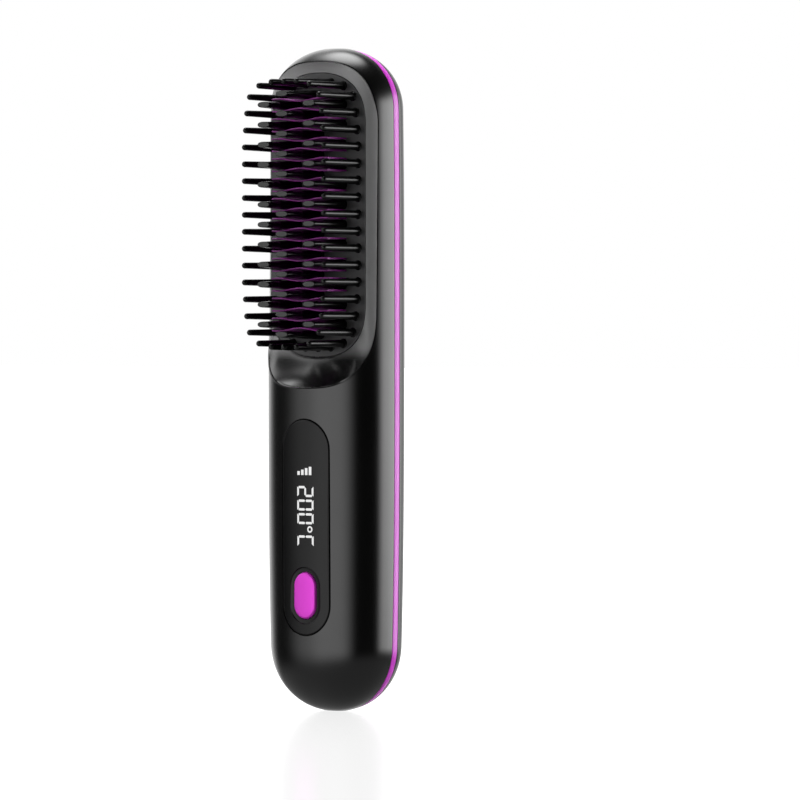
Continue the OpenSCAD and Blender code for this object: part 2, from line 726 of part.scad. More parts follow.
// A segment between two points of a character, u across the panel and v down it
module segment(z0, u0, v0, u1, v1) {
    w = digit_w - segment_w;
    l = digit_l - segment_w;
    a = [digit_x + w / 2 - u0 * w, z0 - segment_w / 2 - v0 * l];
    b = [digit_x + w / 2 - u1 * w, z0 - segment_w / 2 - v1 * l];
    d = (b - a) / norm(b - a) * segment_w;
    n = [-d[1], d[0]] / 2;
    p = a + d * shoulder_trim;
    q = b - d * shoulder_trim;
    out = u0 == u1 ? n * (1 - 2 * u0) : [0, 0];
    if (norm(out) > 0) polygon([
        a - d * outer_reach + out, b + d * outer_reach + out,
        b - d * inner_trim - out, a + d * inner_trim - out
    ]);
    else polygon([a + d * point_trim, p + n, q + n, b - d * point_trim, q - n, p - n]);
}
// Seven segments: top, upper left, upper right, middle, lower left, lower right, bottom
segment_ends = [
    [0, 0, 0, 1], [0, 0, 0.5, 0], [0, 1, 0.5, 1], [0.5, 0, 0.5, 1],
    [0.5, 0, 1, 0], [0.5, 1, 1, 1], [1, 0, 1, 1]
];
module character(place, lit) for (k = lit) {
    e = segment_ends[k];
    segment(first_digit_z - place * digit_step, e[0], e[1], e[2], e[3]);
}
module lit_shapes() {
    for (i = [0:len(bars) - 1]) translate([bar_x + i * bar_step, bar_z]) square([bar_w, bars[i]]);
    character(0, [0, 2, 3, 4, 6]);
    character(1, [0, 1, 2, 4, 5, 6]);
    character(2, [0, 1, 2, 4, 5, 6]);
    translate(ring_at) difference() {
        circle(r = ring_r);
        circle(r = ring_hole_r);
        translate([-ring_bridge / 2, 0]) square([ring_bridge, 2 * ring_r]);
    }
    character(letter_place, [0, 1, 4, 6]);
}

// Solid crown of the casing over the panel, above the panel's flat back
module panel_crown() {
    nx = 8;
    nz = 12;
    hw = panel_w / 2 + fit;
    hl = panel_l / 2 + fit;
    xs = [for (i = [0:nx]) -hw + 2 * hw * i / nx];
    zs = [for (j = [0:nz]) panel_z - hl + 2 * hl * j / nz];
    m = nx + 1;
    k = m * (nz + 1);
    points = concat(
        [for (z = zs, x = xs) [x, -front_at(x, z, 0), z]],
        [for (z = zs, x = xs) [x, -panel_back_h, z]]
    );
    border = concat(
        [for (i = [0:nx]) i],
        [for (j = [1:nz]) j * m + nx],
        [for (i = [nx - 1:-1:0]) nz * m + i],
        [for (j = [nz - 1:-1:1]) j * m]
    );
    faces = concat(
        grid(nz + 1, m, 0, true),
        grid(nz + 1, m, k, false),
        [for (i = [0:len(border) - 1])
            let (a = border[i], b = border[(i + 1) % len(border)])
            each [[a, b, k + b], [a, k + b, k + a]]]
    );
    polyhedron(points, faces, convexity = 4);
}
recess_h = front_at(0, button_z, 0) - recess_depth;
module display_panel() color([0.13, 0.13, 0.14]) difference() {
    intersection() {
        forward(panel_back_h, body_d) stadium(panel_w, panel_l, panel_z);
        panel_crown();
    }
    forward(0, body_d) stadium(button_w + 2 * button_gap, button_l + 2 * button_gap, button_z);
    forward(recess_h, body_d)
        stadium(button_w + 2 * recess_margin, button_l + 2 * recess_margin, button_z);
    forward(0, body_d) lit_shapes();
}
module digit_windows() color([0.97, 0.97, 1]) intersection() {
    forward(panel_back_h, body_d) lit_shapes();
    panel_crown();
}
module display_module() color([0.9, 0.9, 0.92])
    block([-module_hw, board_front, module_hi - module_l], [module_hw, panel_back_h - fit, module_hi]);
module circuit_board() color([0.1, 0.35, 0.18]) difference() {
    block([-board_hw, board_h, board_lo], [board_hw, board_front, board_hi]);
    for (z = board_screw_zs) forward_bar(0, z, board_screw_r + fit, 0, body_d);
}
module control_chip() color([0.12, 0.12, 0.12])
    block([-chip_x - chip_w, board_front, chip_z], [-chip_x, board_front + chip_t, chip_z + chip_w]);
module power_transistors() color([0.14, 0.14, 0.14]) for (i = [0, 1])
    block([chip_x, board_front, chip_z + i * transistor_step],
        [chip_x + chip_w, board_front + transistor_t, chip_z + i * transistor_step + transistor_l]);
module board_screws() color([0.75, 0.75, 0.77]) for (z = board_screw_zs) {
    forward_bar(0, z, board_screw_r, board_front - board_screw_l, board_front + eps);
    forward_bar(0, z, board_head_r, board_front, board_front + board_head_t);
}

// Button and switch
button_foot_h = panel_back_h - 0.9;
button_foot_t = 0.8;
button_foot_w = 0.8;
button_proud = 0.35;
button_edge = 0.5;
switch_h = board_front + 1.6;
switch_hw = 3;
plunger_r = 1.2;
plunger_low = board_front + 1;
module power_button() color([0.93, 0.3, 0.9]) {
    top = front_at(0, button_z, 0) + button_proud;
    foot_w = 2 * button_foot_w;
    forward(button_foot_h, button_foot_h + button_foot_t)
        stadium(button_w + foot_w, button_l + foot_w, button_z);
    forward(button_foot_h, top - button_edge) stadium(button_w, button_l, button_z);
    forward(button_foot_h, top) stadium(button_w - button_edge, button_l - button_edge, button_z);
}
module tact_switch() color([0.2, 0.2, 0.21]) difference() {
    block([-switch_hw, board_front, button_z - switch_hw], [switch_hw, switch_h, button_z + switch_hw]);
    forward_bar(0, button_z, plunger_r + hairline, plunger_low - button_travel - fit, body_d);
}
module switch_plunger() color([0.85, 0.84, 0.8])
    forward_bar(0, button_z, plunger_r, plunger_low, button_foot_h - hairline);

// Battery
// The cells fill the narrower of the room across the casing and the room from the board to the rear
cell_margin_w = 0.6;
cell_margin_d = 2.7;
room_w = half_w(wall + tongue_play + band_t) * barrel(cell_z) - cell_margin_w;
room_d = half_d(wall) + holder_front - holder_plate_t - cell_margin_d;
cell_r = min(room_w, room_d) / 2 - cell_gap / 2;
cell_x = cell_r + cell_gap;
cell_y = cell_r + cell_gap - holder_front + holder_plate_t;
pole_r = 3.2;
pole_l = 1;
tab_w = 7;
holder_hw = cell_x + 3.9;
arm_hw = 6.5;
arm_y = cell_y + 6.6;
module battery_cells() color([0.25, 0.45, 0.75]) for (x = [-1, 1])
    translate([x * cell_x, cell_y, cell_z]) {
        cylinder(r = cell_r, h = cell_l - pole_l);
        cylinder(r = pole_r, h = cell_l);
    }
module cell_tabs() color([0.8, 0.8, 0.8]) {
    translate([-holder_hw, cell_y - tab_w / 2, cell_z - hairline - tab_t])
        cube([2 * holder_hw, tab_w, tab_t]);
    for (x = [-1, 1])
        translate([x * cell_x - tab_w / 2, cell_y - tab_w / 2, cell_z + cell_l + hairline])
            cube([tab_w, tab_w, tab_t]);
}
module battery_holder() color([0.2, 0.2, 0.21]) {
    difference() {
        union() {
            block([-holder_hw, holder_front - holder_plate_t, holder_lo],
                [holder_hw, holder_front, holder_hi]);
            for (z = [holder_lo, holder_hi - holder_wall])
                block([-arm_hw, -arm_y, z], [arm_hw, holder_front, z + holder_wall]);
            for (z = board_screw_zs)
                forward_bar(0, z, board_head_r, board_front - board_screw_l - 2 * fit, holder_front);
        }
        for (z = board_screw_zs)
            forward_bar(0, z, board_screw_r + hairline, board_front - board_screw_l - fit, body_d);
    }
}

// Leads
wire_h = board_front + lead_r + hairline;
// Distance of the battery leads from the centre line, at the cells and on the board
pole_x = cell_x + 1.4;
solder_x = board_hw - 2.2;
solder_z = board_hi - 2;
pole_z = holder_hi - holder_wall;
bend_z = holder_hi + 1.15;
module battery_leads() color([0.75, 0.1, 0.1]) for (x = [-1, 1]) wire([
    [x * pole_x, cell_y, pole_z],
    [x * pole_x, cell_y, bend_z],
    [x * solder_x, -wire_h, bend_z],
    [x * solder_x, -wire_h, solder_z]
], lead_r);
lead_bend_z = board_hi + 4;
lead_rise_z = frame_lo + 7;
module heater_leads() color([0.85, 0.85, 0.85]) for (x = [-1, 1]) wire([
    [x * lead_x, -wire_h, solder_z],
    [x * lead_x, -wire_h, lead_bend_z],
    [x * lead_x, -lead_h, lead_rise_z],
    [x * lead_x, -lead_h, head_z - heater_hl - hairline]
], lead_r);

// Charging port and its board
charge_board_t = 1;
charge_board_y = port_y - port_t / 2 - hairline - charge_board_t;
charge_board_hw = 6.5;
charge_board_lo = 5.6;
charge_board_hi = 11.6;
charge_lead_x = 5;
charge_lead_y = charge_board_y - lead_r - hairline;
// Heights of the charging leads' ends and bends, and how far the third point lies behind the board
charge_lead_zs = [9, 12, 16.3, 20, board_lo + 3];
charge_lead_back = 2.4;
module charging_leads() color([0.15, 0.15, 0.15]) for (x = [-1, 1]) wire([
    [x * charge_lead_x, charge_lead_y, charge_lead_zs[0]],
    [x * charge_lead_x, charge_lead_y, charge_lead_zs[1]],
    [x * charge_lead_x, charge_lead_back - wire_h, charge_lead_zs[2]],
    [x * charge_lead_x, -wire_h, charge_lead_zs[3]],
    [x * charge_lead_x, -wire_h, charge_lead_zs[4]]
], lead_r);
module port_outline(g) {
    r = port_t / 2;
    for (s = [-1, 1]) translate([s * (port_w / 2 - r), 0]) circle(r = r + g);
    translate([-port_w / 2 + r, -r - g]) square([port_w - 2 * r, port_t + 2 * g]);
}
module charging_board() color([0.1, 0.35, 0.18])
    translate([-charge_board_hw, charge_board_y, charge_board_lo])
        cube([2 * charge_board_hw, charge_board_t, charge_board_hi - charge_board_lo]);
// Socket: a thin sleeve, closed at its inner end, round a contact blade
socket_wall = 0.3;
blade_w = 6.6;
blade_t = 0.7;
blade_in = 0.6;
module charging_socket() color([0.7, 0.7, 0.72]) translate([0, port_y, port_mouth_z]) {
    difference() {
        linear_extrude(port_l) port_outline(0);
        translate([0, 0, -eps]) linear_extrude(port_l - socket_wall) port_outline(-socket_wall);
    }
    translate([-blade_w / 2, -blade_t / 2, blade_in]) cube([blade_w, blade_t, port_l - blade_in - eps]);
}

// Cross recess of the casing screws
cross_w = 2.2;
cross_t = 0.5;
module shell_screws() color([0.6, 0.6, 0.62]) for (z = screw_zs) {
    forward_bar(0, z, screw_r, -seat_y(z) - eps, screw_l - seat_y(z));
    difference() {
        forward_bar(0, z, screw_head_r, -seat_y(z) - screw_head_t, -seat_y(z));
        for (a = [0, 90]) translate([0, seat_y(z) + screw_head_t, z]) rotate([0, a, 0])
            cube([cross_w, screw_head_t, cross_t], center = true);
    }
}

front_shell();
rear_shell();
trim_band();
head_frame();
guard_comb();
guard_pins();
heating_plate();
heating_teeth();
ceramic_heater();
mica_sheet();
insulation_pad();
heater_holder();
thermistor();
thermal_fuse();
heater_screws();
heater_leads();
display_panel();
digit_windows();
display_module();
circuit_board();
control_chip();
power_transistors();
tact_switch();
switch_plunger();
power_button();
board_screws();
battery_cells();
cell_tabs();
battery_holder();
battery_leads();
charging_board();
charging_socket();
charging_leads();
shell_screws();
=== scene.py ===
"""A cordless hair straightening brush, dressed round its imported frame."""

import math

import bmesh
import bpy
import numpy as np
from bpy.props import FloatProperty, FloatVectorProperty, PointerProperty
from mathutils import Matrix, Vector


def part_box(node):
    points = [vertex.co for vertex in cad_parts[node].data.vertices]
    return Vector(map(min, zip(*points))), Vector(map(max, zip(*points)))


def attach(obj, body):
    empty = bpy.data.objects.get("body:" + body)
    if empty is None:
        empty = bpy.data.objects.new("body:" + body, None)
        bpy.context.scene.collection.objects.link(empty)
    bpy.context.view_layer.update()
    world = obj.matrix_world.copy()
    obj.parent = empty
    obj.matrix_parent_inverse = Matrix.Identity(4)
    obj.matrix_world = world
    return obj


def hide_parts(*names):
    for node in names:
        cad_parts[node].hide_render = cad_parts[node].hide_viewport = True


bl_info = {
    "name": "Hair Straightening Brush",
    "version": (1, 0, 0),
    "blender": (4, 5, 0),
    "location": "3D View > Sidebar > Brush",
    "description": "Builds a cordless hair straightening brush, its finishes and its studio",
    "category": "Object",
}

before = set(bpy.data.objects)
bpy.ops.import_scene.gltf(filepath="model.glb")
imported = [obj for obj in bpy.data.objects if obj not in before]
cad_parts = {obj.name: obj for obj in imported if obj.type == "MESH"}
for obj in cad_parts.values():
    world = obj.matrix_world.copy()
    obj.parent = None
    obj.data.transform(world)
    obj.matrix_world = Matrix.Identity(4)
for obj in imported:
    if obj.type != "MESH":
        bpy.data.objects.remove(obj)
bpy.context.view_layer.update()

MM = 0.001
EPS = 0.00001
# Gap round a piece that sits in an opening of another one, and bevel of the two plates' edges
PLAY = 0.1 * MM
BEVEL = 0.06 * MM

# Shape of the body: its rounded ends, its barrel sides and the small flat foot
CAP_POWER = 2.1
BARREL_DROP = 0.049
BARREL_REACH = 0.1
BARREL_MIDDLE = 0.56
FOOT_ANGLE = math.radians(9)
# The band has no foot: its rows start this close to the tips
TIP_ANGLE = 0.001


def length(name, description, default, low=0.0001, high=0.4):
    """A size in metres that a user can change."""
    return FloatProperty(name=name, description=description, default=default,
                         min=low, max=high, precision=5, unit="LENGTH")


def colour(name, description, default):
    """A linear colour that a user can change."""
    return FloatVectorProperty(name=name, description=description, default=default,
                               size=3, min=0, max=1, subtype="COLOR")


class BrushCasingSizes(bpy.types.PropertyGroup):
    """Sizes of the body and of the band round it."""
    length: length("Length", "From the foot to the top", 0.2)
    width: length("Width", "Across the body", 0.045)
    depth: length("Depth", "From front to rear", 0.03)
    squareness: FloatProperty(name="Squareness", description="2 is an ellipse",
                              default=2.35, min=2, max=3)
    low_cap: length("Lower end", "Height of the rounded lower end", 0.0202)
    top_cap: length("Upper end", "Height of the rounded upper end", 0.019)
    wall: length("Wall", "Wall of the two shells", 0.002)
    band_width: length("Band width", "Width of the band between the shells", 0.0028)
    band_behind: length("Band place", "How far behind the middle the band lies", 0.002)
    screw_depth: length("Recess", "Depth of the screw recesses", 0.0034)


class BrushHeadSizes(bpy.types.PropertyGroup):
    """Sizes of the head frame, the comb plate and what stands on them."""
    frame_side: length("Frame side", "Ledge of the casing beside the frame", 0.0015)
    frame_low: length("Frame low", "Height of the frame's lowest point", 0.0977)
    frame_top: length("Frame top", "Distance of the frame from the top", 0.0042)
    frame_wall: length("Frame wall", "Thickness of the frame", 0.0025)
    slope_side: length("Side slope", "Width of the frame's slope at the sides", 0.0025)
    slope_top: length("Top slope", "Width of the frame's slope at the top", 0.0034)
    scoop: length("Scoop", "Length of the scoop between the handle and the plate", 0.0092)
    plate_drop: length("Plate drop", "Depth of the plate's face below the crown", 0.0066)
    plate_wall: length("Plate wall", "Thickness of the comb plate", 0.0021)
    window_side: length("Window side", "Plate's edge to the window, at the sides", 0.0062)
    window_end: length("Window end", "Plate's edge to the window, at the ends", 0.00435)
    pin_length: length("Pin length", "Length of the guard pins", 0.0166)
    pin_root: length("Pin root", "Radius of a pin at its root", 0.00115)
    pin_tip: length("Pin tip", "Radius of a pin at its rounded tip", 0.00092)
    pin_pitch: length("Pin pitch", "Distance between the pins of a column", 0.00508)
    pin_inset: length("Pin inset", "Distance of the pins from the plate's edge", 0.0029)
    tooth_pitch: length("Tooth pitch", "Distance between the teeth of a column", 0.006)
    tooth_inset: length("Tooth inset", "Outer teeth's middle to the window's side", 0.0034)
    tooth_width: length("Tooth width", "Width of a tooth", 0.0047)
    tooth_root: length("Tooth root", "Thickness of a tooth at its root", 0.0031)
    tooth_tip: length("Tooth tip", "Thickness of a tooth at its tip", 0.0018)
    tooth_outer: length("Outer teeth", "Length of the outer teeth", 0.015)
    tooth_middle: length("Middle teeth", "Length of the middle teeth", 0.017)
    fin_length: length("Fin length", "Length of the wavy fins above the plate", 0.0086)
    fin_wall: length("Fin wall", "Thickness of the wavy fins", 0.0005)
    fin_wave: length("Fin wave", "Half the height of the fins' wave", 0.0004)


class BrushHandleSizes(bpy.types.PropertyGroup):
    """Sizes of the display panel, its characters and the button."""
    panel_width: length("Panel width", "Width of the display panel", 0.0182)
    panel_low: length("Panel low", "Height of the panel's lowest point", 0.0233)
    panel_high: length("Panel high", "Height of the panel's highest point", 0.0881)
    panel_wall: length("Panel wall", "Thickness of the panel at its crown", 0.0021)
    digit_width: length("Character height", "Height of a character, across the panel", 0.00635)
    digit_length: length("Character length", "Length of a character, along the panel", 0.0033)
    digit_step: length("Character step", "Distance between characters", 0.00408)
    segment_width: length("Segment", "Width of a lit segment", 0.0007)
    button_width: length("Button width", "Width of the button", 0.0086)
    button_length: length("Button length", "Length of the button", 0.0141)
    button_rise: length("Button place", "Button's centre above the panel's low end", 0.0119)
    button_gap: length("Button gap", "Gap round the button", 0.00015)
    recess_margin: length("Recess width", "Width of the recess round the button", 0.0016)
    recess_depth: length("Recess depth", "Depth of that recess", 0.00045)


class BrushFinishes(bpy.types.PropertyGroup):
    """Colours of the pieces that show, as linear values."""
    black: colour("Casing", "Satin black of the casing", (0.0008, 0.0008, 0.0009))
    grey: colour("Head frame", "Satin grey of the head frame's rim", (0.29, 0.29, 0.291))
    scoop: colour("Scoop", "Polished black of the scoop", (0.004, 0.004, 0.0042))
    plate: colour("Comb plate", "Dark grey of the comb plate", (0.035, 0.035, 0.036))
    pins: colour("Pins", "Glossy black of the pins and teeth", (0.0008, 0.0008, 0.0009))
    # The grey of the flat tooth tips is a painted highlight: it stands in for the light that the
    # flat ends catch
    tips: colour("Tooth tips", "Grey painted highlight on the flat tooth tips", (0.045, 0.047, 0.045))
    magenta: colour("Band", "Magenta of the band", (0.7, 0.045, 0.69))
    # The coated plate is magenta, and its colour is darkened to paint in the shade that falls on the
    # fins between the teeth
    magenta_with_painted_shade: colour("Heating plate", "Magenta of the coated plate, darkened as painted shade", (0.32, 0.022, 0.31))
    button: colour("Button", "Magenta of the button", (0.86, 0.05, 0.76))
    panel: colour("Panel", "Smoked black of the display panel", (0.003, 0.003, 0.0033))
    lit: colour("Display", "White of the lit characters", (1.0, 1.0, 1.0))


class BrushStudio(bpy.types.PropertyGroup):
    """The camera, the lights and the floor."""
    azimuth: FloatProperty(name="Camera azimuth", description="Turn of the camera towards +X",
                           default=math.radians(40), subtype="ANGLE")
    height: length("Camera height", "Height of the level camera", 0.112)
    distance: FloatProperty(name="Camera distance", description="From the body's axis",
                            default=1.6, min=0.5, max=5, unit="LENGTH")
    lens: FloatProperty(name="Lens", description="Focal length in millimetres",
                        default=238, min=20, max=500)
    shift_x: FloatProperty(name="Shift X", description="Framing of the photograph",
                           default=0.08, min=-1, max=1)
    shift_y: FloatProperty(name="Shift Y", description="Framing of the photograph",
                           default=-0.075, min=-1, max=1)
    floor_size: FloatProperty(name="Floor", description="Side of the pale floor",
                              default=30, min=1, max=100, unit="LENGTH")


# Body surface. A surface that lies `inset` inside the outer one has smaller sizes.
def round_end(part):
    """Width of a rounded end, from 1 where it starts to 0 at its tip."""
    part = np.clip(part, 0, 1)
    return np.power(1 - np.power(part, CAP_POWER), 1 / CAP_POWER)


def end_tips(c):
    """Heights of the two tips that the rounded ends would reach without a foot."""
    spare = 1 - math.cos(FOOT_ANGLE)
    return -c.low_cap * spare, c.length + c.top_cap * spare


def barrel(c, z):
    return 1 - BARREL_DROP * np.power(np.abs(z - BARREL_MIDDLE * c.length) / BARREL_REACH, 3)


def profile(c, z, inset=0.0):
    low, top = end_tips(c)
    low_part = 1 - (z - low - inset) / (c.low_cap - inset)
    top_part = 1 - (top - inset - z) / (c.top_cap - inset)
    return barrel(c, z) * round_end(low_part) * round_end(top_part)


def other_axis(c, along, limit, reach, k):
    """The third side of the section's rounded outline."""
    ratio = np.minimum(1, np.abs(along) / (limit * k))
    return reach * k * np.power(1 - np.power(ratio, c.squareness), 1 / c.squareness)


def half_width(c, y, z, inset=0.0):
    """Half width of the section at height z, at the depth y."""
    k = profile(c, z, inset)
    return other_axis(c, y, c.depth / 2 - inset, c.width / 2 - inset, k)


def front_height(c, x, z, inset=0.0):
    """Distance of the surface from the middle towards -Y."""
    k = profile(c, z, inset)
    return other_axis(c, x, c.width / 2 - inset, c.depth / 2 - inset, k)


def signed_power(value, power):
    return np.sign(value) * np.power(np.abs(value), power)


def end_angle(c, y, inset, end, least):
    """Angle on the rounded end at which the plane y cuts it."""
    part = 1 - (abs(y) / ((c.depth / 2 - inset) * float(barrel(c, end)))) ** CAP_POWER
    return max(least, math.acos(max(0.0, part) ** (1 / CAP_POWER)))


def section_heights(c, y, inset, cap_steps, side_steps, least=FOOT_ANGLE):
    """Heights of the rows of points, close together in the rounded ends."""
    low, top = end_tips(c)
    low_r = c.low_cap - inset
    top_r = c.top_cap - inset
    start = end_angle(c, y, inset, 0, least)
    stop = end_angle(c, y, inset, c.length, least)
    rise = np.linspace(start, math.pi / 2, cap_steps + 1)
    fall = np.linspace(math.pi / 2, stop, cap_steps + 1)
    low_rows = low + inset + low_r * (1 - np.cos(rise))
    top_rows = top - inset - top_r * (1 - np.cos(fall))
    side_rows = np.linspace(low_rows[-1], top_rows[0], side_steps + 1)[1:-1]
    return np.concatenate([low_rows, side_rows, top_rows])


def half_section(c, z, inset, rim, side, steps):
    """Open row of points round one half of the section, from +X to -X."""
    k = float(profile(c, z, inset))
    ratio = side * rim / ((c.depth / 2 - inset) * k)
    start = math.asin(max(-1, min(1, float(signed_power(ratio, c.squareness / 2)))))
    turns = np.linspace(start, math.pi - start, steps + 1)
    x = (c.width / 2 - inset) * k * signed_power(np.cos(turns), 2 / c.squareness)
    y = side * (c.depth / 2 - inset) * k * signed_power(np.sin(turns), 2 / c.squareness)
    return np.stack([x, y, np.full_like(x, z)], axis=1)


def body_normals(c, points):
    """Outward normals of the body's surface, and how far each point lies from it."""
    x, y, z = points.T
    n = c.squareness
    k = np.maximum(profile(c, z), 1e-6)
    step = 1e-5
    slope = (profile(c, z + step) - profile(c, z - step)) / (2 * step)
    across = np.abs(x) / (c.width / 2 * k)
    deep = np.abs(y) / (c.depth / 2 * k)
    total = np.power(across, n) + np.power(deep, n)
    gradient = np.stack([
        np.sign(x) * np.power(across, n - 1) / (c.width / 2 * k),
        np.sign(y) * np.power(deep, n - 1) / (c.depth / 2 * k),
        -total * slope / k,
    ], axis=1)
    size = np.maximum(np.linalg.norm(gradient, axis=1, keepdims=True), 1e-12)
    distance = (np.power(total, 1 / n) - 1) * c.depth / 2 * k
    return gradient / size, np.abs(distance)


# Mesh helpers

# Points that lie this close to the body's surface count as part of it
ON_SURFACE = 0.00003


def add_object(name, mesh):
    obj = bpy.data.objects.new(name, mesh)
    bpy.context.scene.collection.objects.link(obj)
    return obj


def shade(mesh, degrees=30):
    """Smooth shading with crisp edges where two faces turn by more than the angle."""
    mesh.shade_smooth()
    mesh.set_sharp_from_angle(angle=math.radians(degrees))


def add_mesh(name, points, faces, degrees=30):
    """A closed mesh with its faces outward."""
    mesh = bpy.data.meshes.new(name)
    mesh.from_pydata([tuple(p) for p in points], [], faces)
    work = bmesh.new()
    work.from_mesh(mesh)
    bmesh.ops.remove_doubles(work, verts=work.verts, dist=1e-8)
    bmesh.ops.recalc_face_normals(work, faces=work.faces)
    work.to_mesh(mesh)
    work.free()
    shade(mesh, degrees)
    return add_object(name, mesh)


def grid_faces(rows, columns, start=0, wrap_rows=False, wrap_columns=False):
    """Quads between rows of points."""
    faces = []
    for i in range(rows if wrap_rows else rows - 1):
        for j in range(columns if wrap_columns else columns - 1):
            a = start + i * columns + j
            b = start + i * columns + (j + 1) % columns
            c = start + ((i + 1) % rows) * columns + (j + 1) % columns
            d = start + ((i + 1) % rows) * columns + j
            faces.append((a, b, c, d))
    return faces


def ring_solid(name, rings, degrees=30):
    """Closed solid through closed rings of points, with a fan at each end."""
    count = len(rings[0])
    points = np.concatenate(rings + [rings[0].mean(0)[None], rings[-1].mean(0)[None]])
    faces = grid_faces(len(rings), count, wrap_columns=True)
    last = (len(rings) - 1) * count
    low = len(rings) * count
    for j in range(count):
        following = (j + 1) % count
        faces.append((j, following, low))
        faces.append((last + j, last + following, low + 1))
    return add_mesh(name, points, faces, degrees)


def loop_solid(name, stations, degrees=30):
    """Closed ring through sections that lie round it."""
    rows, columns = stations.shape[:2]
    faces = grid_faces(rows, columns, wrap_rows=True, wrap_columns=True)
    return add_mesh(name, stations.reshape(-1, 3), faces, degrees)


def plain_mesh(obj):
    """Turns the evaluated object into a plain mesh and drops its modifiers."""
    graph = bpy.context.evaluated_depsgraph_get()
    graph.update()
    mesh = bpy.data.meshes.new_from_object(obj.evaluated_get(graph))
    obj.modifiers.clear()
    obj.data = mesh


def combine(obj, cutter, operation="DIFFERENCE"):
    """Cuts, joins or trims a solid with another one, which is used up."""
    change = obj.modifiers.new("Combine", "BOOLEAN")
    change.operation = operation
    change.solver = "EXACT"
    change.object = cutter
    plain_mesh(obj)
    bpy.data.objects.remove(cutter)


def polish(c, obj):
    """Gives what lies on the body's surface that surface's own exact normals."""
    mesh = obj.data
    shade(mesh)
    points = np.empty(len(mesh.vertices) * 3)
    mesh.vertices.foreach_get("co", points)
    normals, distance = body_normals(c, points.reshape(-1, 3))
    corner_point = np.empty(len(mesh.loops), dtype=np.int32)
    mesh.loops.foreach_get("vertex_index", corner_point)
    corner_normal = np.empty(len(mesh.loops) * 3)
    mesh.corner_normals.foreach_get("vector", corner_normal)
    corner_normal = corner_normal.reshape(-1, 3)
    sizes = np.empty(len(mesh.polygons), dtype=np.int32)
    mesh.polygons.foreach_get("loop_total", sizes)
    face_normal = np.empty(len(mesh.polygons) * 3)
    mesh.polygon_normals.foreach_get("vector", face_normal)
    face_normal = np.repeat(face_normal.reshape(-1, 3), sizes, axis=0)
    exact = normals[corner_point]
    use = (distance[corner_point] < ON_SURFACE) & ((exact * face_normal).sum(1) > 0.9)
    corner_normal[use] = exact[use]
    mesh.normals_split_custom_set([tuple(n) for n in corner_normal])


def hand_over(obj, body, nodes, slot, *materials):
    """Dresses a finished piece and fixes it to its body."""
    obj.data.materials.clear()
    for material in materials:
        obj.data.materials.append(material)
    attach(obj, body)
    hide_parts(*nodes)


def join_meshes(name, objects):
    """One object from several, with its doubles kept apart."""
    work = bmesh.new()
    for obj in objects:
        work.from_mesh(obj.data)
        bpy.data.objects.remove(obj)
    mesh = bpy.data.meshes.new(name)
    work.to_mesh(mesh)
    work.free()
    return add_object(name, mesh)


# Outlines in the plane of the face, as rows of (x, z)

# Length of the lower and of the upper end, and how square each of them is
FRAME_ENDS = (25.6 * MM, 20.5 * MM, 3.2, 2.66)
PLATE_ENDS = (16.8 * MM, 16 * MM, 2.5, 2.3)


def rounded_outline(half, low, high, low_end, high_end, low_square, high_square):
    """Closed outline with a rounded end at each side, from +X over the top."""
    a = np.linspace(0, math.pi / 2, 41)
    top_x = half * np.power(np.cos(a), 2 / high_square)
    top_z = high - high_end + high_end * np.power(np.sin(a), 2 / high_square)
    low_x = half * np.power(np.cos(a), 2 / low_square)
    low_z = low + low_end - low_end * np.power(np.sin(a), 2 / low_square)
    x = np.concatenate([top_x, -top_x[-2::-1], -low_x, low_x[-2::-1]])
    z = np.concatenate([top_z, top_z[-2::-1], low_z, low_z[-2::-1]])
    return np.stack([x, z], axis=1)


def even_outline(points, count):
    """The same closed outline with its points at even distances, from the first one."""
    closed = np.concatenate([points, points[:1]])
    way = np.concatenate([[0], np.cumsum(np.linalg.norm(np.diff(closed, axis=0), axis=1))])
    keep = np.concatenate([[True], np.diff(way) > 1e-9])
    at = np.linspace(0, way[-1], count, endpoint=False)
    x = np.interp(at, way[keep], closed[keep, 0])
    z = np.interp(at, way[keep], closed[keep, 1])
    return np.stack([x, z], axis=1)


def stadium(width, height, middle):
    """Upright stadium round the middle height."""
    a = np.linspace(0, math.pi, 25)
    r = width / 2
    rise = (height - width) / 2
    top = np.stack([r * np.cos(a), middle + rise + r * np.sin(a)], axis=1)
    low = np.stack([-r * np.cos(a), middle - rise - r * np.sin(a)], axis=1)
    return np.concatenate([top, low])


def lift(outline, height):
    """Points of an outline at a front height, which is one number or one for each point."""
    y = -np.broadcast_to(height, len(outline))
    return np.stack([outline[:, 0], y, outline[:, 1]], axis=1)


def prism(name, outline, low, high):
    return ring_solid(name, [lift(outline, low), lift(outline, high)])


def frame_outline(c, h, grow=0.0):
    return rounded_outline(c.width / 2 - h.frame_side + grow, h.frame_low - grow,
                           c.length - h.frame_top + grow, *FRAME_ENDS)


def plate_outline(c, h, grow):
    half = c.width / 2 - h.frame_side - h.slope_side
    return rounded_outline(half + grow, h.frame_low + h.scoop - grow,
                           c.length - h.frame_top - h.slope_top + grow, *PLATE_ENDS)


class HeadPlaces:
    """Heights and places in the head that follow from its sizes."""

    def __init__(self, c, h):
        self.plate_face = c.depth / 2 - h.plate_drop
        low = h.frame_low + h.scoop
        high = c.length - h.frame_top - h.slope_top
        self.middle = (low + high) / 2
        self.half = (high - low) / 2
        self.plate_side = c.width / 2 - h.frame_side - h.slope_side
        self.window_side = self.plate_side - h.window_side
        self.window_half = self.half - h.window_end
        self.pin_side = self.plate_side - h.pin_inset
        self.tooth_side = self.window_side - h.tooth_inset
        self.land = self.plate_face - 0.2 * MM
        self.row_pitch = h.tooth_pitch / 2
        self.rows = 2 * int(self.window_half / self.row_pitch + EPS) + 1


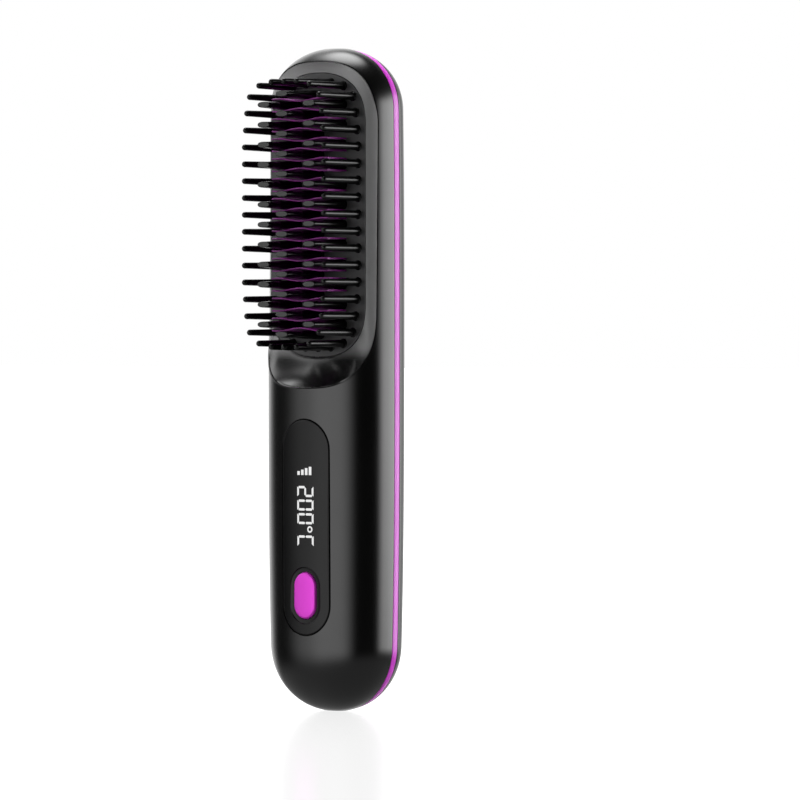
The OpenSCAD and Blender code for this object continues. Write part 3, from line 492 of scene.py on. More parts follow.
def window_outline(places, grow):
    """Rounded rectangle of the window for the heating plate."""
    corner = 4 * MM
    flat_x = places.window_side - corner
    flat_z = places.window_half - corner
    points = []
    for quarter, (sx, sz) in enumerate(((1, 1), (-1, 1), (-1, -1), (1, -1))):
        for a in np.linspace(0, math.pi / 2, 13) + quarter * math.pi / 2:
            points.append((sx * flat_x + (corner + grow) * math.cos(a),
                           places.middle + sz * flat_z + (corner + grow) * math.sin(a)))
    return np.array(points)


# Node trees
class Nodes:
    """Adds nodes to a tree. An input gets a value, or a link where a socket is given."""

    def __init__(self, tree):
        self.tree = tree

    def fill(self, node, inputs):
        for key, value in inputs.items():
            if isinstance(value, bpy.types.NodeSocket):
                self.tree.links.new(value, node.inputs[key])
            else:
                node.inputs[key].default_value = value

    def add(self, kind, inputs, **options):
        node = self.tree.nodes.new(kind)
        for name, value in options.items():
            setattr(node, name, value)
        self.fill(node, inputs)
        return node

    def math(self, operation, *values):
        return self.add("ShaderNodeMath", dict(enumerate(values)), operation=operation).outputs[0]

    def dot(self, vector, axis):
        node = self.add("ShaderNodeVectorMath", {0: vector, 1: axis}, operation="DOT_PRODUCT")
        return node.outputs["Value"]

    def blend(self, value, low, high, at_low, at_high, kind="SMOOTHSTEP"):
        """Goes from one value to another between two limits."""
        return self.add("ShaderNodeMapRange", {
            "Value": value, "From Min": low, "From Max": high, "To Min": at_low,
            "To Max": at_high}, interpolation_type=kind).outputs["Result"]

    def place(self, scale=(1, 1, 1)):
        """Object coordinates in metres, stretched by a scale in each direction."""
        source = self.add("ShaderNodeTexCoord", {}).outputs["Object"]
        return self.add("ShaderNodeMapping", {"Vector": source, "Scale": scale}).outputs["Vector"]

    def noise(self, vector, scale, detail=3.0, roughness=0.55):
        return self.add("ShaderNodeTexNoise", {
            "Vector": vector, "Scale": scale, "Detail": detail,
            "Roughness": roughness}).outputs["Fac"]

    def about(self, value, middle, reach):
        """A number that wanders round a middle one."""
        return self.blend(value, 0, 1, middle - reach, middle + reach, "LINEAR")

    def tinted(self, value, base, shift):
        """A colour that wanders a little round its base."""
        return self.add("ShaderNodeMix", {
            "A": (*[max(0.0, v * (1 - shift)) for v in base], 1),
            "B": (*[min(1.0, v * (1 + shift)) for v in base], 1),
            "Factor": value}, data_type="RGBA").outputs["Result"]

    def bump(self, height, distance, strength):
        return self.add("ShaderNodeBump", {
            "Height": height, "Distance": distance, "Strength": strength}).outputs["Normal"]


# Materials
def new_material(name):
    material = bpy.data.materials.new(name)
    material.use_nodes = True
    tree = material.node_tree
    return material, Nodes(tree), tree.nodes["Principled BSDF"]


def moulded(name, base, roughness, grain=0.00018, depth=0.000004, wander=0.05, shift=0.12,
            specular=0.5, coat=0.0, coat_roughness=0.05, metallic=0.0):
    """Moulded or coated surface with a fine grain and a sheen that varies a little."""
    material, nodes, shader = new_material(name)
    vector = nodes.place()
    broad = nodes.noise(vector, 90.0, 4.0)
    nodes.fill(shader, {
        "Normal": nodes.bump(nodes.noise(vector, 1 / grain, 2.0), depth, 0.6),
        "Roughness": nodes.about(broad, roughness, wander),
        "Base Color": nodes.tinted(broad, base, shift), "Specular IOR Level": specular,
        "Coat Weight": coat, "Coat Roughness": coat_roughness, "Metallic": metallic})
    return material


def brushed(name, base, roughness, direction=(1, 1, 0.02)):
    """Metal with fine lines along one direction."""
    material, nodes, shader = new_material(name)
    lines = nodes.noise(nodes.place(direction), 9000.0, 3.0, 0.7)
    nodes.fill(shader, {
        "Normal": nodes.bump(lines, 0.000003, 0.5), "Roughness": nodes.about(lines, roughness, 0.06),
        "Base Color": nodes.tinted(nodes.noise(nodes.place(), 120.0), base, 0.08),
        "Metallic": 1.0})
    return material


def glowing(name, base, strength):
    """Lit window: its light is a little stronger in some places than in others."""
    material, nodes, shader = new_material(name)
    uneven = nodes.noise(nodes.place(), 700.0, 2.0)
    nodes.fill(shader, {
        "Base Color": (0.1, 0.1, 0.1, 1), "Roughness": 0.3, "Emission Color": (*base, 1),
        "Emission Strength": nodes.blend(uneven, 0, 1, 0.9 * strength, 1.1 * strength, "LINEAR")})
    return material


def shared(name, *look, **details):
    """A material that several pieces have."""
    return bpy.data.materials.get(name) or moulded(name, *look, **details)


def settings(context):
    scene = context.scene
    return scene.brush_casing, scene.brush_head, scene.brush_handle, scene.brush_finishes


# Geometry Nodes trees
def tree_with(name, *sockets):
    """A geometry tree with named inputs: its nodes, its input sockets and its output node."""
    tree = bpy.data.node_groups.new(name, "GeometryNodeTree")
    common = ("Geometry", "Geometry"), ("Piece", "Object"), ("Finish", "Material")
    for socket, kind in common + sockets:
        tree.interface.new_socket(socket, in_out="INPUT", socket_type="NodeSocket" + kind)
    tree.interface.new_socket("Geometry", in_out="OUTPUT", socket_type="NodeSocketGeometry")
    return Nodes(tree), tree.nodes.new("NodeGroupInput").outputs, tree.nodes.new("NodeGroupOutput")


def finish_tree(nodes, inputs, output, points):
    """Puts the piece on the points, makes it real and gives it its material."""
    piece = nodes.add("GeometryNodeObjectInfo", {"Object": inputs["Piece"]})
    place = nodes.add("GeometryNodeInstanceOnPoints", {
        "Points": points, "Instance": piece.outputs["Geometry"]})
    real = nodes.add("GeometryNodeRealizeInstances", {"Geometry": place.outputs["Instances"]})
    dress = nodes.add("GeometryNodeSetMaterial", {
        "Geometry": real.outputs["Geometry"], "Material": inputs["Finish"]})
    nodes.fill(output, {"Geometry": dress.outputs["Geometry"]})
    return nodes.tree


def spots_tree():
    """Copies of a piece on the points of the mesh that has the modifier."""
    nodes, inputs, output = tree_with("Brush spots")
    return finish_tree(nodes, inputs, output, inputs["Geometry"])


def columns_tree():
    """Copies of a piece in one column, or in two columns at equal distances."""
    nodes, inputs, output = tree_with(
        "Brush columns", ("Count", "Int"), ("Mirrored Count", "Int"), ("Pitch", "Float"),
        ("Side", "Float"), ("Middle", "Float"))
    drop = nodes.math("MULTIPLY", nodes.math("SUBTRACT", inputs["Count"], 1), inputs["Pitch"])
    lowest = nodes.math("MULTIPLY_ADD", drop, -0.5, inputs["Middle"])
    other_side = nodes.math("MULTIPLY", inputs["Side"], -1)
    step = nodes.add("ShaderNodeCombineXYZ", {"Z": inputs["Pitch"]}).outputs["Vector"]
    both = nodes.add("GeometryNodeJoinGeometry", {})
    for count, side in (("Count", inputs["Side"]), ("Mirrored Count", other_side)):
        start = nodes.add("ShaderNodeCombineXYZ", {"X": side, "Z": lowest})
        line = nodes.add("GeometryNodeMeshLine", {
            "Count": inputs[count], "Start Location": start.outputs["Vector"], "Offset": step})
        nodes.fill(both, {"Geometry": line.outputs["Mesh"]})
    return finish_tree(nodes, inputs, output, both.outputs["Geometry"])


def tree_object(name, tree, values, points=()):
    """Runs a tree on an object and turns the result into a plain mesh."""
    mesh = bpy.data.meshes.new(name)
    mesh.from_pydata([tuple(p) for p in points], [], [])
    obj = add_object(name, mesh)
    modifier = obj.modifiers.new("Copies", "NODES")
    modifier.node_group = tree
    for item in tree.interface.items_tree:
        if item.in_out == "INPUT" and item.name in values:
            modifier[item.identifier] = values[item.name]
    plain_mesh(obj)
    bpy.data.objects.remove(values["Piece"])
    return obj


# Shells of the casing

# Chamfer along the rim of each shell
RIM_CHAMFER = 0.12 * MM
# The rows of a half end where the body is still deeper than its rim by this factor
RIM_MARGIN = 1.03
# Margins and depth of the pad behind the panel, the ledge that carries the panel, and how far
# behind the plate's face the opening for the head reaches
PAD_MARGIN = 2.4 * MM
PAD_DEPTH = 1.4 * MM
LEDGE = 1.3 * MM
HEAD_SEAT = 5.6 * MM
# Radii of the screws' bosses, holes, recesses and wider recess mouths, and the distance from
# the rear face at which the bosses end
BOSS_R = 3 * MM
HOLE_R = 1.25 * MM
RECESS_R = 2.3 * MM
MOUTH_R = 2.9 * MM
BOSS_MEET = 9.4 * MM


def half_shell(c, name, rim, side):
    """Hollow half of the casing, with a small chamfer along its rim."""
    cap_steps, side_steps, ring_steps = 26, 70, 96
    near = rim + side * RIM_CHAMFER
    keep = max(0.0, side * near) * RIM_MARGIN
    outer = []
    for z in section_heights(c, keep, 0, cap_steps, side_steps):
        row = half_section(c, z, 0, near, side, ring_steps)
        edge = half_section(c, z, RIM_CHAMFER, rim, side, 2)
        outer.append(np.concatenate([edge[:1], row, edge[-1:]]))
    inner = []
    for z in section_heights(c, keep, c.wall, cap_steps, side_steps):
        inner.append(half_section(c, z, c.wall, rim, side, ring_steps + 2))
    rows = len(outer)
    columns = ring_steps + 3
    skin = rows * columns
    points = np.concatenate(outer + inner)
    faces = grid_faces(rows, columns)
    faces += grid_faces(rows, columns, skin)
    last = (rows - 1) * columns
    for i in range(rows - 1):
        a = i * columns
        b = a + columns
        faces.append((a, b, skin + b, skin + a))
        faces.append((a + columns - 1, b + columns - 1, skin + b + columns - 1,
                      skin + a + columns - 1))
    faces.append(tuple(range(columns)))
    faces.append(tuple(range(last, last + columns)))
    faces.append(tuple(range(skin, skin + columns)))
    faces.append(tuple(range(skin + last, skin + last + columns)))
    faces.append((0, columns - 1, skin + columns - 1, skin))
    faces.append((last, last + columns - 1, skin + last + columns - 1, skin + last))
    return add_mesh(name, points, faces)


def satin_black(f):
    return shared("Satin black", f.black, 0.24, depth=0.0000015, wander=0.03)


class BRUSH_OT_front_shell(bpy.types.Operator):
    """Front half of the casing, open for the head frame and for the display panel"""
    bl_idname = "brush.front_shell"
    bl_label = "Front shell"

    def execute(self, context):
        c, h, d, f = settings(context)
        shell = half_shell(c, "front_casing", c.band_behind - c.band_width / 2, -1)
        seat = c.depth / 2 - h.plate_drop - HEAD_SEAT
        tall = d.panel_high - d.panel_low
        middle = panel_middle(d)
        back = c.depth / 2 - d.panel_wall
        pad = stadium(d.panel_width + PAD_MARGIN, tall + PAD_MARGIN, middle)
        combine(shell, prism("pad", pad, back - PAD_DEPTH, back), "UNION")

        def head_hole(grow):
            return frame_outline(c, h, PLAY + grow)

        def panel_hole(grow):
            return stadium(d.panel_width + 2 * (PLAY + grow), tall + 2 * (PLAY + grow), middle)

        chamfer = ((0, -0.25 * MM), (0.2 * MM, -0.05 * MM), (0.4 * MM, 0.15 * MM))
        over = chamfer[-1][0]
        for hole, start in ((head_hole, seat), (panel_hole, back)):
            rings = [lift(hole(0), start)] + surface_rings(c, hole, chamfer)
            combine(shell, ring_solid("hole", rings + [lift(hole(over), c.depth)]))
        window = stadium(d.panel_width - 2 * LEDGE, tall - 2 * LEDGE, middle)
        combine(shell, prism("panel_window", window, back - 3 * MM, back + EPS))
        polish(c, shell)
        hand_over(shell, "casing", ["front_shell"], "front_shell", satin_black(f))
        return {"FINISHED"}


def screw_places(c, h):
    """Heights of the three casing screws, and the depth of each seat."""
    places = HeadPlaces(c, h)
    heights = (15 * MM, h.frame_low - 4.7 * MM, places.middle + 15.25 * MM)
    return [(z, float(front_height(c, 0.0, z)) - c.screw_depth) for z in heights]


def rounds(radius, steps=48):
    a = np.linspace(0, 2 * math.pi, steps, endpoint=False)
    return np.stack([radius * np.cos(a), radius * np.sin(a)], axis=1)


def bar_behind(name, z, radius, start, end):
    """Round bar along Y at a height, between two depths."""
    outline = rounds(radius) + np.array([0, z])
    return prism(name, outline, -start, -end)


def socket_outline(width, thick, grow):
    """Outline of the charging port in X and Y, as rows of points."""
    r = thick / 2
    a = np.linspace(-math.pi / 2, math.pi / 2, 17)
    right = np.stack([width / 2 - r + (r + grow) * np.cos(a), (r + grow) * np.sin(a)], axis=1)
    return np.concatenate([right, -right])


class BRUSH_OT_rear_shell(bpy.types.Operator):
    """Rear half of the casing, with its screw recesses and the charging port's hole"""
    bl_idname = "brush.rear_shell"
    bl_label = "Rear shell"

    def execute(self, context):
        c, h, _, f = settings(context)
        shell = half_shell(c, "rear_casing", c.band_behind + c.band_width / 2, 1)
        meet = c.depth / 2 - BOSS_MEET
        for z, _ in screw_places(c, h):
            inside = float(front_height(c, 0.0, z, c.wall)) + c.wall / 2
            combine(shell, bar_behind("boss", z, BOSS_R, meet, inside), "UNION")
        for z, seat in screw_places(c, h):
            combine(shell, bar_behind("hole", z, HOLE_R, 0, c.depth))
            lead = [lift(rounds(r) + np.array([0, z]), -y) for r, y in (
                (RECESS_R, seat), (RECESS_R, seat + c.screw_depth - 0.3 * MM),
                (MOUTH_R, seat + c.screw_depth + 0.3 * MM), (MOUTH_R, c.depth))]
            combine(shell, ring_solid("recess", lead))
        low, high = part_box("charging_socket")
        middle = (low + high) / 2
        rings = []
        # Height of each ring of the port's hole and its growth, in millimetres
        for z, grow in ((-2, 0.9), (1.2, 0.6), (1.9, 0.15), (10, 0.15)):
            shape = socket_outline(high.x - low.x, high.y - low.y, grow * MM)
            rings.append(np.stack([shape[:, 0], shape[:, 1] + middle.y,
                                   np.full(len(shape), z * MM)], axis=1))
        combine(shell, ring_solid("port_hole", rings))
        polish(c, shell)
        hand_over(shell, "casing", ["rear_shell"], "rear_shell", satin_black(f))
        return {"FINISHED"}


# Band between the shells

# Its gap to the shells, its softened edges and the tongue on each side
BAND_PLAY = 0.03 * MM
BAND_SOFT = 0.28 * MM
TONGUE = 1.1 * MM


def band_row(c, y, inset, cap_steps, side_steps):
    """Closed row of points where the plane y cuts the surface."""
    z = section_heights(c, y, inset, cap_steps, side_steps, TIP_ANGLE)
    x = half_width(c, y, z, inset)
    x[0] = 0
    x[-1] = 0
    right = np.stack([x, np.full_like(x, y), np.clip(z, 0, c.length)], axis=1)
    left = right[-2:0:-1] * np.array([-1, 1, 1])
    return np.concatenate([right, left])


class BRUSH_OT_band(bpy.types.Operator):
    """Magenta band between the shells, with softened edges and a tongue on each side"""
    bl_idname = "brush.band"
    bl_label = "Trim band"

    def execute(self, context):
        c, _, _, f = settings(context)
        front = c.band_behind - c.band_width / 2
        rear = c.band_behind + c.band_width / 2
        near = front + BAND_PLAY
        far = rear - BAND_PLAY
        turns = np.linspace(0, math.pi / 2, 5)
        aside = BAND_SOFT * (1 - np.cos(turns))
        inset = BAND_SOFT * (1 - np.sin(turns)) + 0.02 * MM
        corners = list(zip(near + aside, inset)) + list(zip(far - aside[::-1], inset[::-1]))
        outer = c.wall + 0.24 * MM
        inner = outer + 0.8 * MM
        corners += [(far, outer), (rear + TONGUE, outer), (rear + TONGUE, inner),
                    (front - TONGUE, inner), (front - TONGUE, outer), (near, outer)]
        rows = [band_row(c, y, inset, 40, 90) for y, inset in corners]
        band = loop_solid("magenta_band", np.stack(rows, axis=1))
        low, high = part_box("charging_socket")
        notch_x = (high.x - low.x) / 2 + 0.3 * MM
        notch = np.array([(notch_x, 0), (-notch_x, 0), (-notch_x, 10 * MM), (notch_x, 10 * MM)])
        combine(band, prism("notch", notch, -rear - TONGUE - MM, -rear - 0.05 * MM))
        shade(band.data, 40)
        lacquer = moulded("Magenta lacquer", f.magenta, 0.32, grain=0.0001, depth=0.000001,
                          wander=0.03, shift=0.03, specular=0.42)
        hand_over(band, "casing", ["trim_band"], "trim_band", lacquer)
        return {"FINISHED"}


# Head

# The scoop fades into the rim from the first height above the frame's lowest point, over the
# second one
SCOOP_FADE = (7.8 * MM, 5 * MM)
# How far the frame's outer edge lies below the body's surface
RIM_SINK = 0.35 * MM
# Knee of the slope. Its height over the lip is a part of the climb from the lip to the rim. In
# the scoop it also moves from the rim to the lip by a part of the way. The scoop's pairs give
# the part where the climb is low and what comes off where it is high. The last pair gives the
# climb from which this starts, and over how much more of it.
RIM_KNEE = 0.24
SCOOP_KNEE = (0.4, 0.36)
SCOOP_REACH = (0.5, 0.1)
HIGH_CLIMB = (2.5 * MM, 3.5 * MM)


class BRUSH_OT_head_frame(bpy.types.Operator):
    """Frame round the comb plate: a sloping rim that turns into a scoop at the handle"""
    bl_idname = "brush.head_frame"
    bl_label = "Head frame"

    def execute(self, context):
        c, h, _, f = settings(context)
        places = HeadPlaces(c, h)
        outer = frame_outline(c, h)
        inner = plate_outline(c, h, PLAY)
        rim = lift(outer, front_height(c, outer[:, 0], outer[:, 1]) - RIM_SINK)
        lip = lift(inner, places.plate_face)
        climb = lip[:, 1] - rim[:, 1]
        deep = np.clip((climb - HIGH_CLIMB[0]) / HIGH_CLIMB[1], 0, 1)
        knee = (rim + lip) / 2
        knee[:, 1] = lip[:, 1] - RIM_KNEE * climb
        below = SCOOP_KNEE[0] - SCOOP_KNEE[1] * deep
        within = SCOOP_REACH[0] - SCOOP_REACH[1] * deep
        hollow = np.stack([knee[:, 0], lip[:, 1] - below * climb,
                           rim[:, 2] + within * (lip[:, 2] - rim[:, 2])], axis=1)
        up = np.clip((outer[:, 1] - h.frame_low - SCOOP_FADE[0]) / SCOOP_FADE[1], 0, 1)[:, None]
        knee = hollow + (knee - hollow) * up * up * (3 - 2 * up)
        steps = np.linspace(0, 1, 15)
        soft = 0.03
        slope = [(1 - t) ** 2 * rim + 2 * t * (1 - t) * knee + t * t * lip
                 for t in np.concatenate([[soft], steps[1:-1], [1 - soft]])]
        down = np.array([0, h.frame_wall, 0])
        edge = np.array([0, 0.22 * MM, 0])
        sections = [rim + down, rim + edge] + slope + [lip + edge, lip + down]
        back = [p + down for p in slope[-2:0:-4]]
        ring = loop_solid("head_rim", np.stack(sections + back, axis=1), 40)
        hand_over(ring, "casing", ["head_frame"], "head_frame", self.finish(h, f))
        return {"FINISHED"}

    @staticmethod
    def finish(h, f):
        """Satin grey rim whose fine texture fades out into the polished black scoop."""
        grey = moulded("Frame grey", f.grey, 0.42, depth=0.000002, wander=0.04, specular=0.7)
        nodes = Nodes(grey.node_tree)
        satin = grey.node_tree.nodes["Principled BSDF"]
        height = nodes.add("ShaderNodeSeparateXYZ", {"Vector": nodes.place()}).outputs["Z"]
        start = h.frame_low + SCOOP_FADE[0]
        gloss = nodes.add("ShaderNodeBsdfPrincipled", {
            "Base Color": (*f.scoop, 1), "Roughness": 0.26, "Specular IOR Level": 0.9,
            "Normal": satin.inputs["Normal"].links[0].from_socket})
        mixed = nodes.add("ShaderNodeMixShader", {
            0: nodes.blend(height, start, start + SCOOP_FADE[1], 0, 1),
            1: gloss.outputs[0], 2: satin.outputs[0]})
        nodes.fill(grey.node_tree.nodes["Material Output"], {"Surface": mixed.outputs[0]})
        return grey


def plate_grey(f):
    return shared("Plate grey", f.plate, 0.42, depth=0.000005, wander=0.05)


class BRUSH_OT_comb_plate(bpy.types.Operator):
    """Comb plate with softened edges round its outline and its window"""
    bl_idname = "brush.comb_plate"
    bl_label = "Comb plate"

    def execute(self, context):
        c, h, _, f = settings(context)
        places = HeadPlaces(c, h)
        face = places.plate_face
        back = face - h.plate_wall
        soft = 0.18 * MM
        count = 320
        outer_rings = [(0, back), (0, face - soft), (-0.3 * soft, face - 0.3 * soft),
                       (-soft, face), (-1.5 * soft, face)]
        inner_rings = [(PLAY + 2 * BEVEL, face), (PLAY + BEVEL, face), (PLAY, face - BEVEL),
                       (PLAY, back)]
        rings = [lift(self.turned(plate_outline(c, h, g), places, count), y)
                 for g, y in outer_rings]
        rings += [lift(self.turned(window_outline(places, g), places, count), y)
                  for g, y in inner_rings]
        plate = loop_solid("comb_face", np.stack(rings, axis=1))
        hand_over(plate, "casing", ["guard_comb"], "guard_comb", plate_grey(f))
        return {"FINISHED"}

    @staticmethod
    def turned(outline, places, count):
        """Points of an outline at even turns round the middle of the head."""
        x, z = even_outline(outline, 3000).T
        z = z - places.middle
        at = np.linspace(0, 2 * math.pi, count, endpoint=False)
        size = np.interp(at, np.arctan2(z, x), np.hypot(x, z), period=2 * math.pi)
        return np.stack([size * np.cos(at), places.middle + size * np.sin(at)], axis=1)


def turned_solid(name, outline, steps=24):
    """Solid of revolution along -Y from (radius, front height) points, at the origin."""
    rings = []
    for r, y in outline:
        ring = rounds(max(r, 1e-6), steps)
        rings.append(np.stack([ring[:, 0], np.full(steps, -y), ring[:, 1]], axis=1))
    return ring_solid(name, rings, 40)


class BRUSH_OT_guard_pins(bpy.types.Operator):
    """Ring of round guard pins on the comb plate"""
    bl_idname = "brush.guard_pins"
    bl_label = "Guard pins"

    def execute(self, context):
        c, h, _, f = settings(context)
        places = HeadPlaces(c, h)
        face = places.plate_face
        top = face + h.pin_length
        flare = [(h.pin_root + 0.35 * MM * (1 - t) ** 2, face + 0.45 * MM * t)
                 for t in np.linspace(0, 1, 5)]
        shaft = [(h.pin_tip, top - h.pin_tip - 0.2 * MM)]
        ball = [(h.pin_tip * math.cos(a), top - h.pin_tip + h.pin_tip * math.sin(a))
                for a in np.linspace(0, math.pi / 2, 8)]
        pin = turned_solid("pin", flare + shaft + ball)
        side = places.pin_side
        # Pins round the ends of the plate: distance from the middle line and from the end
        ends = [(0, 2.95 * MM), (5 * MM, 3.05 * MM), (9.9 * MM, 4.05 * MM),
                (side - 2 * MM, 7.35 * MM), (side - 0.9 * MM, 12.25 * MM),
                (side - 0.4 * MM, 17.35 * MM)]
        spots = []
        for x, inset in ends:
            for end in (-1, 1):
                for sx in ((1,) if x == 0 else (-1, 1)):
                    spots.append((sx * x, 0, places.middle + end * (places.half - inset)))
        reach = places.half - ends[-1][1]
        count = round(reach / h.pin_pitch) - 1
        for i in range(-count, count + 1):
            z = places.middle + i * reach / (count + 1)
            spots += [(side, 0, z), (-side, 0, z)]
        gloss = moulded("Pin black", f.pins, 0.26, depth=0.000001, wander=0.03, specular=0.32)
        pins = tree_object("guard_pin_ring", spots_tree(), {"Piece": pin, "Finish": gloss}, spots)
        shade(pins.data, 40)
        hand_over(pins, "casing", ["guard_pins"], "guard_pins", gloss)
        return {"FINISHED"}


def oval(width, thick):
    """Outline of a tooth in X and Z, a little fuller than an ellipse."""
    a = np.linspace(0, 2 * math.pi, 32, endpoint=False)
    x = width / 2 * signed_power(np.cos(a), 2 / 2.4)
    z = thick / 2 * signed_power(np.sin(a), 2 / 2.4)
    return np.stack([x, z], axis=1)


class BRUSH_OT_heating_teeth(bpy.types.Operator):
    """Staggered columns of oval teeth whose flat tips are painted grey as a highlight"""
    bl_idname = "brush.heating_teeth"
    bl_label = "Heating teeth"

    def execute(self, context):
        c, h, _, f = settings(context)
        places = HeadPlaces(c, h)
        black = moulded("Tooth black", f.pins, 0.26, depth=0.000001, wander=0.04, specular=0.32)
        # The grey of the tips is a painted highlight on their flat end faces
        grey = moulded("Painted tip highlight", f.tips, 0.5, depth=0.000004, wander=0.05)
        columns = columns_tree()
        many = (places.rows + 1) // 2
        middle = self.column(columns, self.tooth(h, places, h.tooth_middle), black, {
            "Count": many, "Mirrored Count": 0, "Side": 0.0}, h, places)
        outer = self.column(columns, self.tooth(h, places, h.tooth_outer), black, {
            "Count": many - 1, "Mirrored Count": many - 1, "Side": places.tooth_side}, h, places)
        teeth = join_meshes("tooth_field", [middle, outer])
        shade(teeth.data, 35)
        hand_over(teeth, "casing", ["heating_teeth"], "heating_teeth", black, grey)
        self.paint_tip_highlights(teeth.data, places, h)
        return {"FINISHED"}

    @staticmethod
    def tooth(h, places, above):
        """One tooth: it thins towards a flat tip inside a rounded edge."""
        root = places.land + 0.05 * MM
        top = places.plate_face + above
        edge = 0.22 * MM
        rings = []
        for part in np.linspace(0, 1, 7):
            thick = h.tooth_root + (h.tooth_tip - h.tooth_root) * part
            y = root + (top - edge - root) * part
            rings.append(lift(oval(h.tooth_width, thick), y))
        for a in (0.35, 0.7, 1.0):
            shrink = 2 * edge * (1 - math.cos(a * math.pi / 2))
            y = top - edge + edge * math.sin(a * math.pi / 2)
            rings.append(lift(oval(h.tooth_width - shrink, h.tooth_tip - shrink), y))
        rings.append(lift(oval(h.tooth_width - 2.2 * edge, h.tooth_tip - 2.2 * edge), top))
        return ring_solid("tooth", rings, 35)

    @staticmethod
    def column(tree, tooth, black, values, h, places):
        values.update({"Piece": tooth, "Finish": black, "Pitch": h.tooth_pitch,
                       "Middle": places.middle})
        return tree_object("tooth_column", tree, values)

    @staticmethod
    def paint_tip_highlights(mesh, places, h):
        """The flat end faces get the grey, a painted highlight."""
        low = places.plate_face + min(h.tooth_outer, h.tooth_middle) - 0.05 * MM
        for face in mesh.polygons:
            if face.normal.y < -0.98 and -face.center.y > low:
                face.material_index = 1


class BRUSH_OT_heating_plate(bpy.types.Operator):
    """Coated plate with wavy fins between the rows of teeth"""
    bl_idname = "brush.heating_plate"
    bl_label = "Heating plate"

    def execute(self, context):
        c, h, _, f = settings(context)
        places = HeadPlaces(c, h)
        # The coating's magenta is its own colour, darkened to paint in the shade between the teeth
        coat = moulded("Magenta coating with painted shade", f.magenta_with_painted_shade, 0.3, grain=0.0001,
                       depth=0.000002, wander=0.05, shift=0.1, coat=0.25, coat_roughness=0.15)
        dark = plate_grey(f)
        levels = ((0, -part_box("heating_plate")[1].y), (0, places.land - BEVEL),
                  (-BEVEL, places.land), (-2 * BEVEL, places.land))
        base = ring_solid("plate_base", [lift(window_outline(places, g), y) for g, y in levels])
        columns = columns_tree()
        parts = [base]
        many = places.rows - 1
        for turn in (1, -1):
            count = (many + (1 if turn > 0 else 0)) // 2
            start = places.middle - (many - 1) * places.row_pitch / 2
            first = start + (0 if turn > 0 else places.row_pitch)
            values = {"Piece": self.fin(h, places, turn), "Finish": coat, "Count": count,
                      "Mirrored Count": 0, "Pitch": h.tooth_pitch, "Side": 0.0,
                      "Middle": first + (count - 1) * h.tooth_pitch / 2}
            parts.append(tree_object("fin_column", columns, values))
        plate = join_meshes("wavy_plate", parts)
        shade(plate.data, 40)
        hand_over(plate, "casing", ["heating_plate"], "heating_plate", dark, coat)
        for face in plate.data.polygons:
            if -face.center.y > places.land + EPS:
                face.material_index = 1
        return {"FINISHED"}

    @staticmethod
    def fin(h, places, turn):
        """One wavy wall with a rounded edge."""
        reach = places.window_side - 1.3 * MM
        x = np.linspace(-reach, reach, 49)
        wave = turn * h.fin_wave * np.cos(math.pi * x / places.tooth_side)
        top = places.plate_face + h.fin_length
        thick = h.fin_wall / 2
        sections = [(-thick, places.land - 0.1 * MM), (-thick, top - thick)]
        for a in np.linspace(0, math.pi, 7)[1:-1]:
            sections.append((-thick * math.cos(a), top - thick + thick * math.sin(a)))
        sections += [(thick, top - thick), (thick, places.land - 0.1 * MM)]
        rings = []
        for px, pw in zip(x, wave):
            rings.append(np.array([(px, -y, pw + dz) for dz, y in sections]))
        return ring_solid("fin", rings, 40)


# Display panel and button

# How far the lit windows stand over the body's surface
LIT_PROUD = 0.003 * MM


def panel_middle(d):
    return (d.panel_low + d.panel_high) / 2


def crown_block(c, d, lift_by=0.0):
    """Solid between the panel's flat back and the body's surface."""
    middle = panel_middle(d)
    half_w = d.panel_width / 2 + 0.5 * MM
    half_l = (d.panel_high - d.panel_low) / 2 + 0.5 * MM
    xs = np.linspace(-half_w, half_w, 41)
    zs = np.linspace(middle - half_l, middle + half_l, 81)
    grid_x, grid_z = np.meshgrid(xs, zs)
    top = front_height(c, grid_x, grid_z) + lift_by
    back = np.full_like(top, c.depth / 2 - d.panel_wall)
    rows, columns = top.shape
    points = np.concatenate([
        np.stack([grid_x, -top, grid_z], axis=2).reshape(-1, 3),
        np.stack([grid_x, -back, grid_z], axis=2).reshape(-1, 3)])
    under = rows * columns
    faces = grid_faces(rows, columns) + grid_faces(rows, columns, under)
    border = list(range(columns))
    border += [i * columns + columns - 1 for i in range(1, rows)]
    border += [(rows - 1) * columns + j for j in range(columns - 2, -1, -1)]
    border += [i * columns for i in range(rows - 2, 0, -1)]
    for i, a in enumerate(border):
        b = border[(i + 1) % len(border)]
        faces.append((a, b, under + b, under + a))
    return add_mesh("crown", points, faces)


def surface_rings(c, outline_for, levels):
    """Rings of an outline that is grown by g, at a height over the body's surface."""
    rings = []
    for grow, over in levels:
        outline = outline_for(grow)
        rings.append(lift(outline, front_height(c, outline[:, 0], outline[:, 1]) + over))
    return rings


# Seven segments, as ends [across, along] of each: top, upper left, upper right, middle,
# lower left, lower right, bottom
SEGMENTS = (
    ((0, 0), (0, 1)), ((0, 0), (0.5, 0)), ((0, 1), (0.5, 1)), ((0.5, 0), (0.5, 1)),
    ((0.5, 0), (1, 0)), ((0.5, 1), (1, 1)), ((1, 0), (1, 1)),
)
READOUT = (
    (0, (0, 2, 3, 4, 6)),
    (1, (0, 1, 2, 4, 5, 6)),
    (2, (0, 1, 2, 4, 5, 6)),
    (3.64, (0, 1, 4, 6)),
)
BAR_HEIGHTS = (1.15 * MM, 1.6 * MM, 2.1 * MM, 2.5 * MM)
# Start of the readout and foot of the bars, over the panel's middle, and the bars' places
READOUT_START = 12.45 * MM
BARS_FOOT = 15.75 * MM
BARS_SIDE = -2.65
BARS_STEP = 1.5


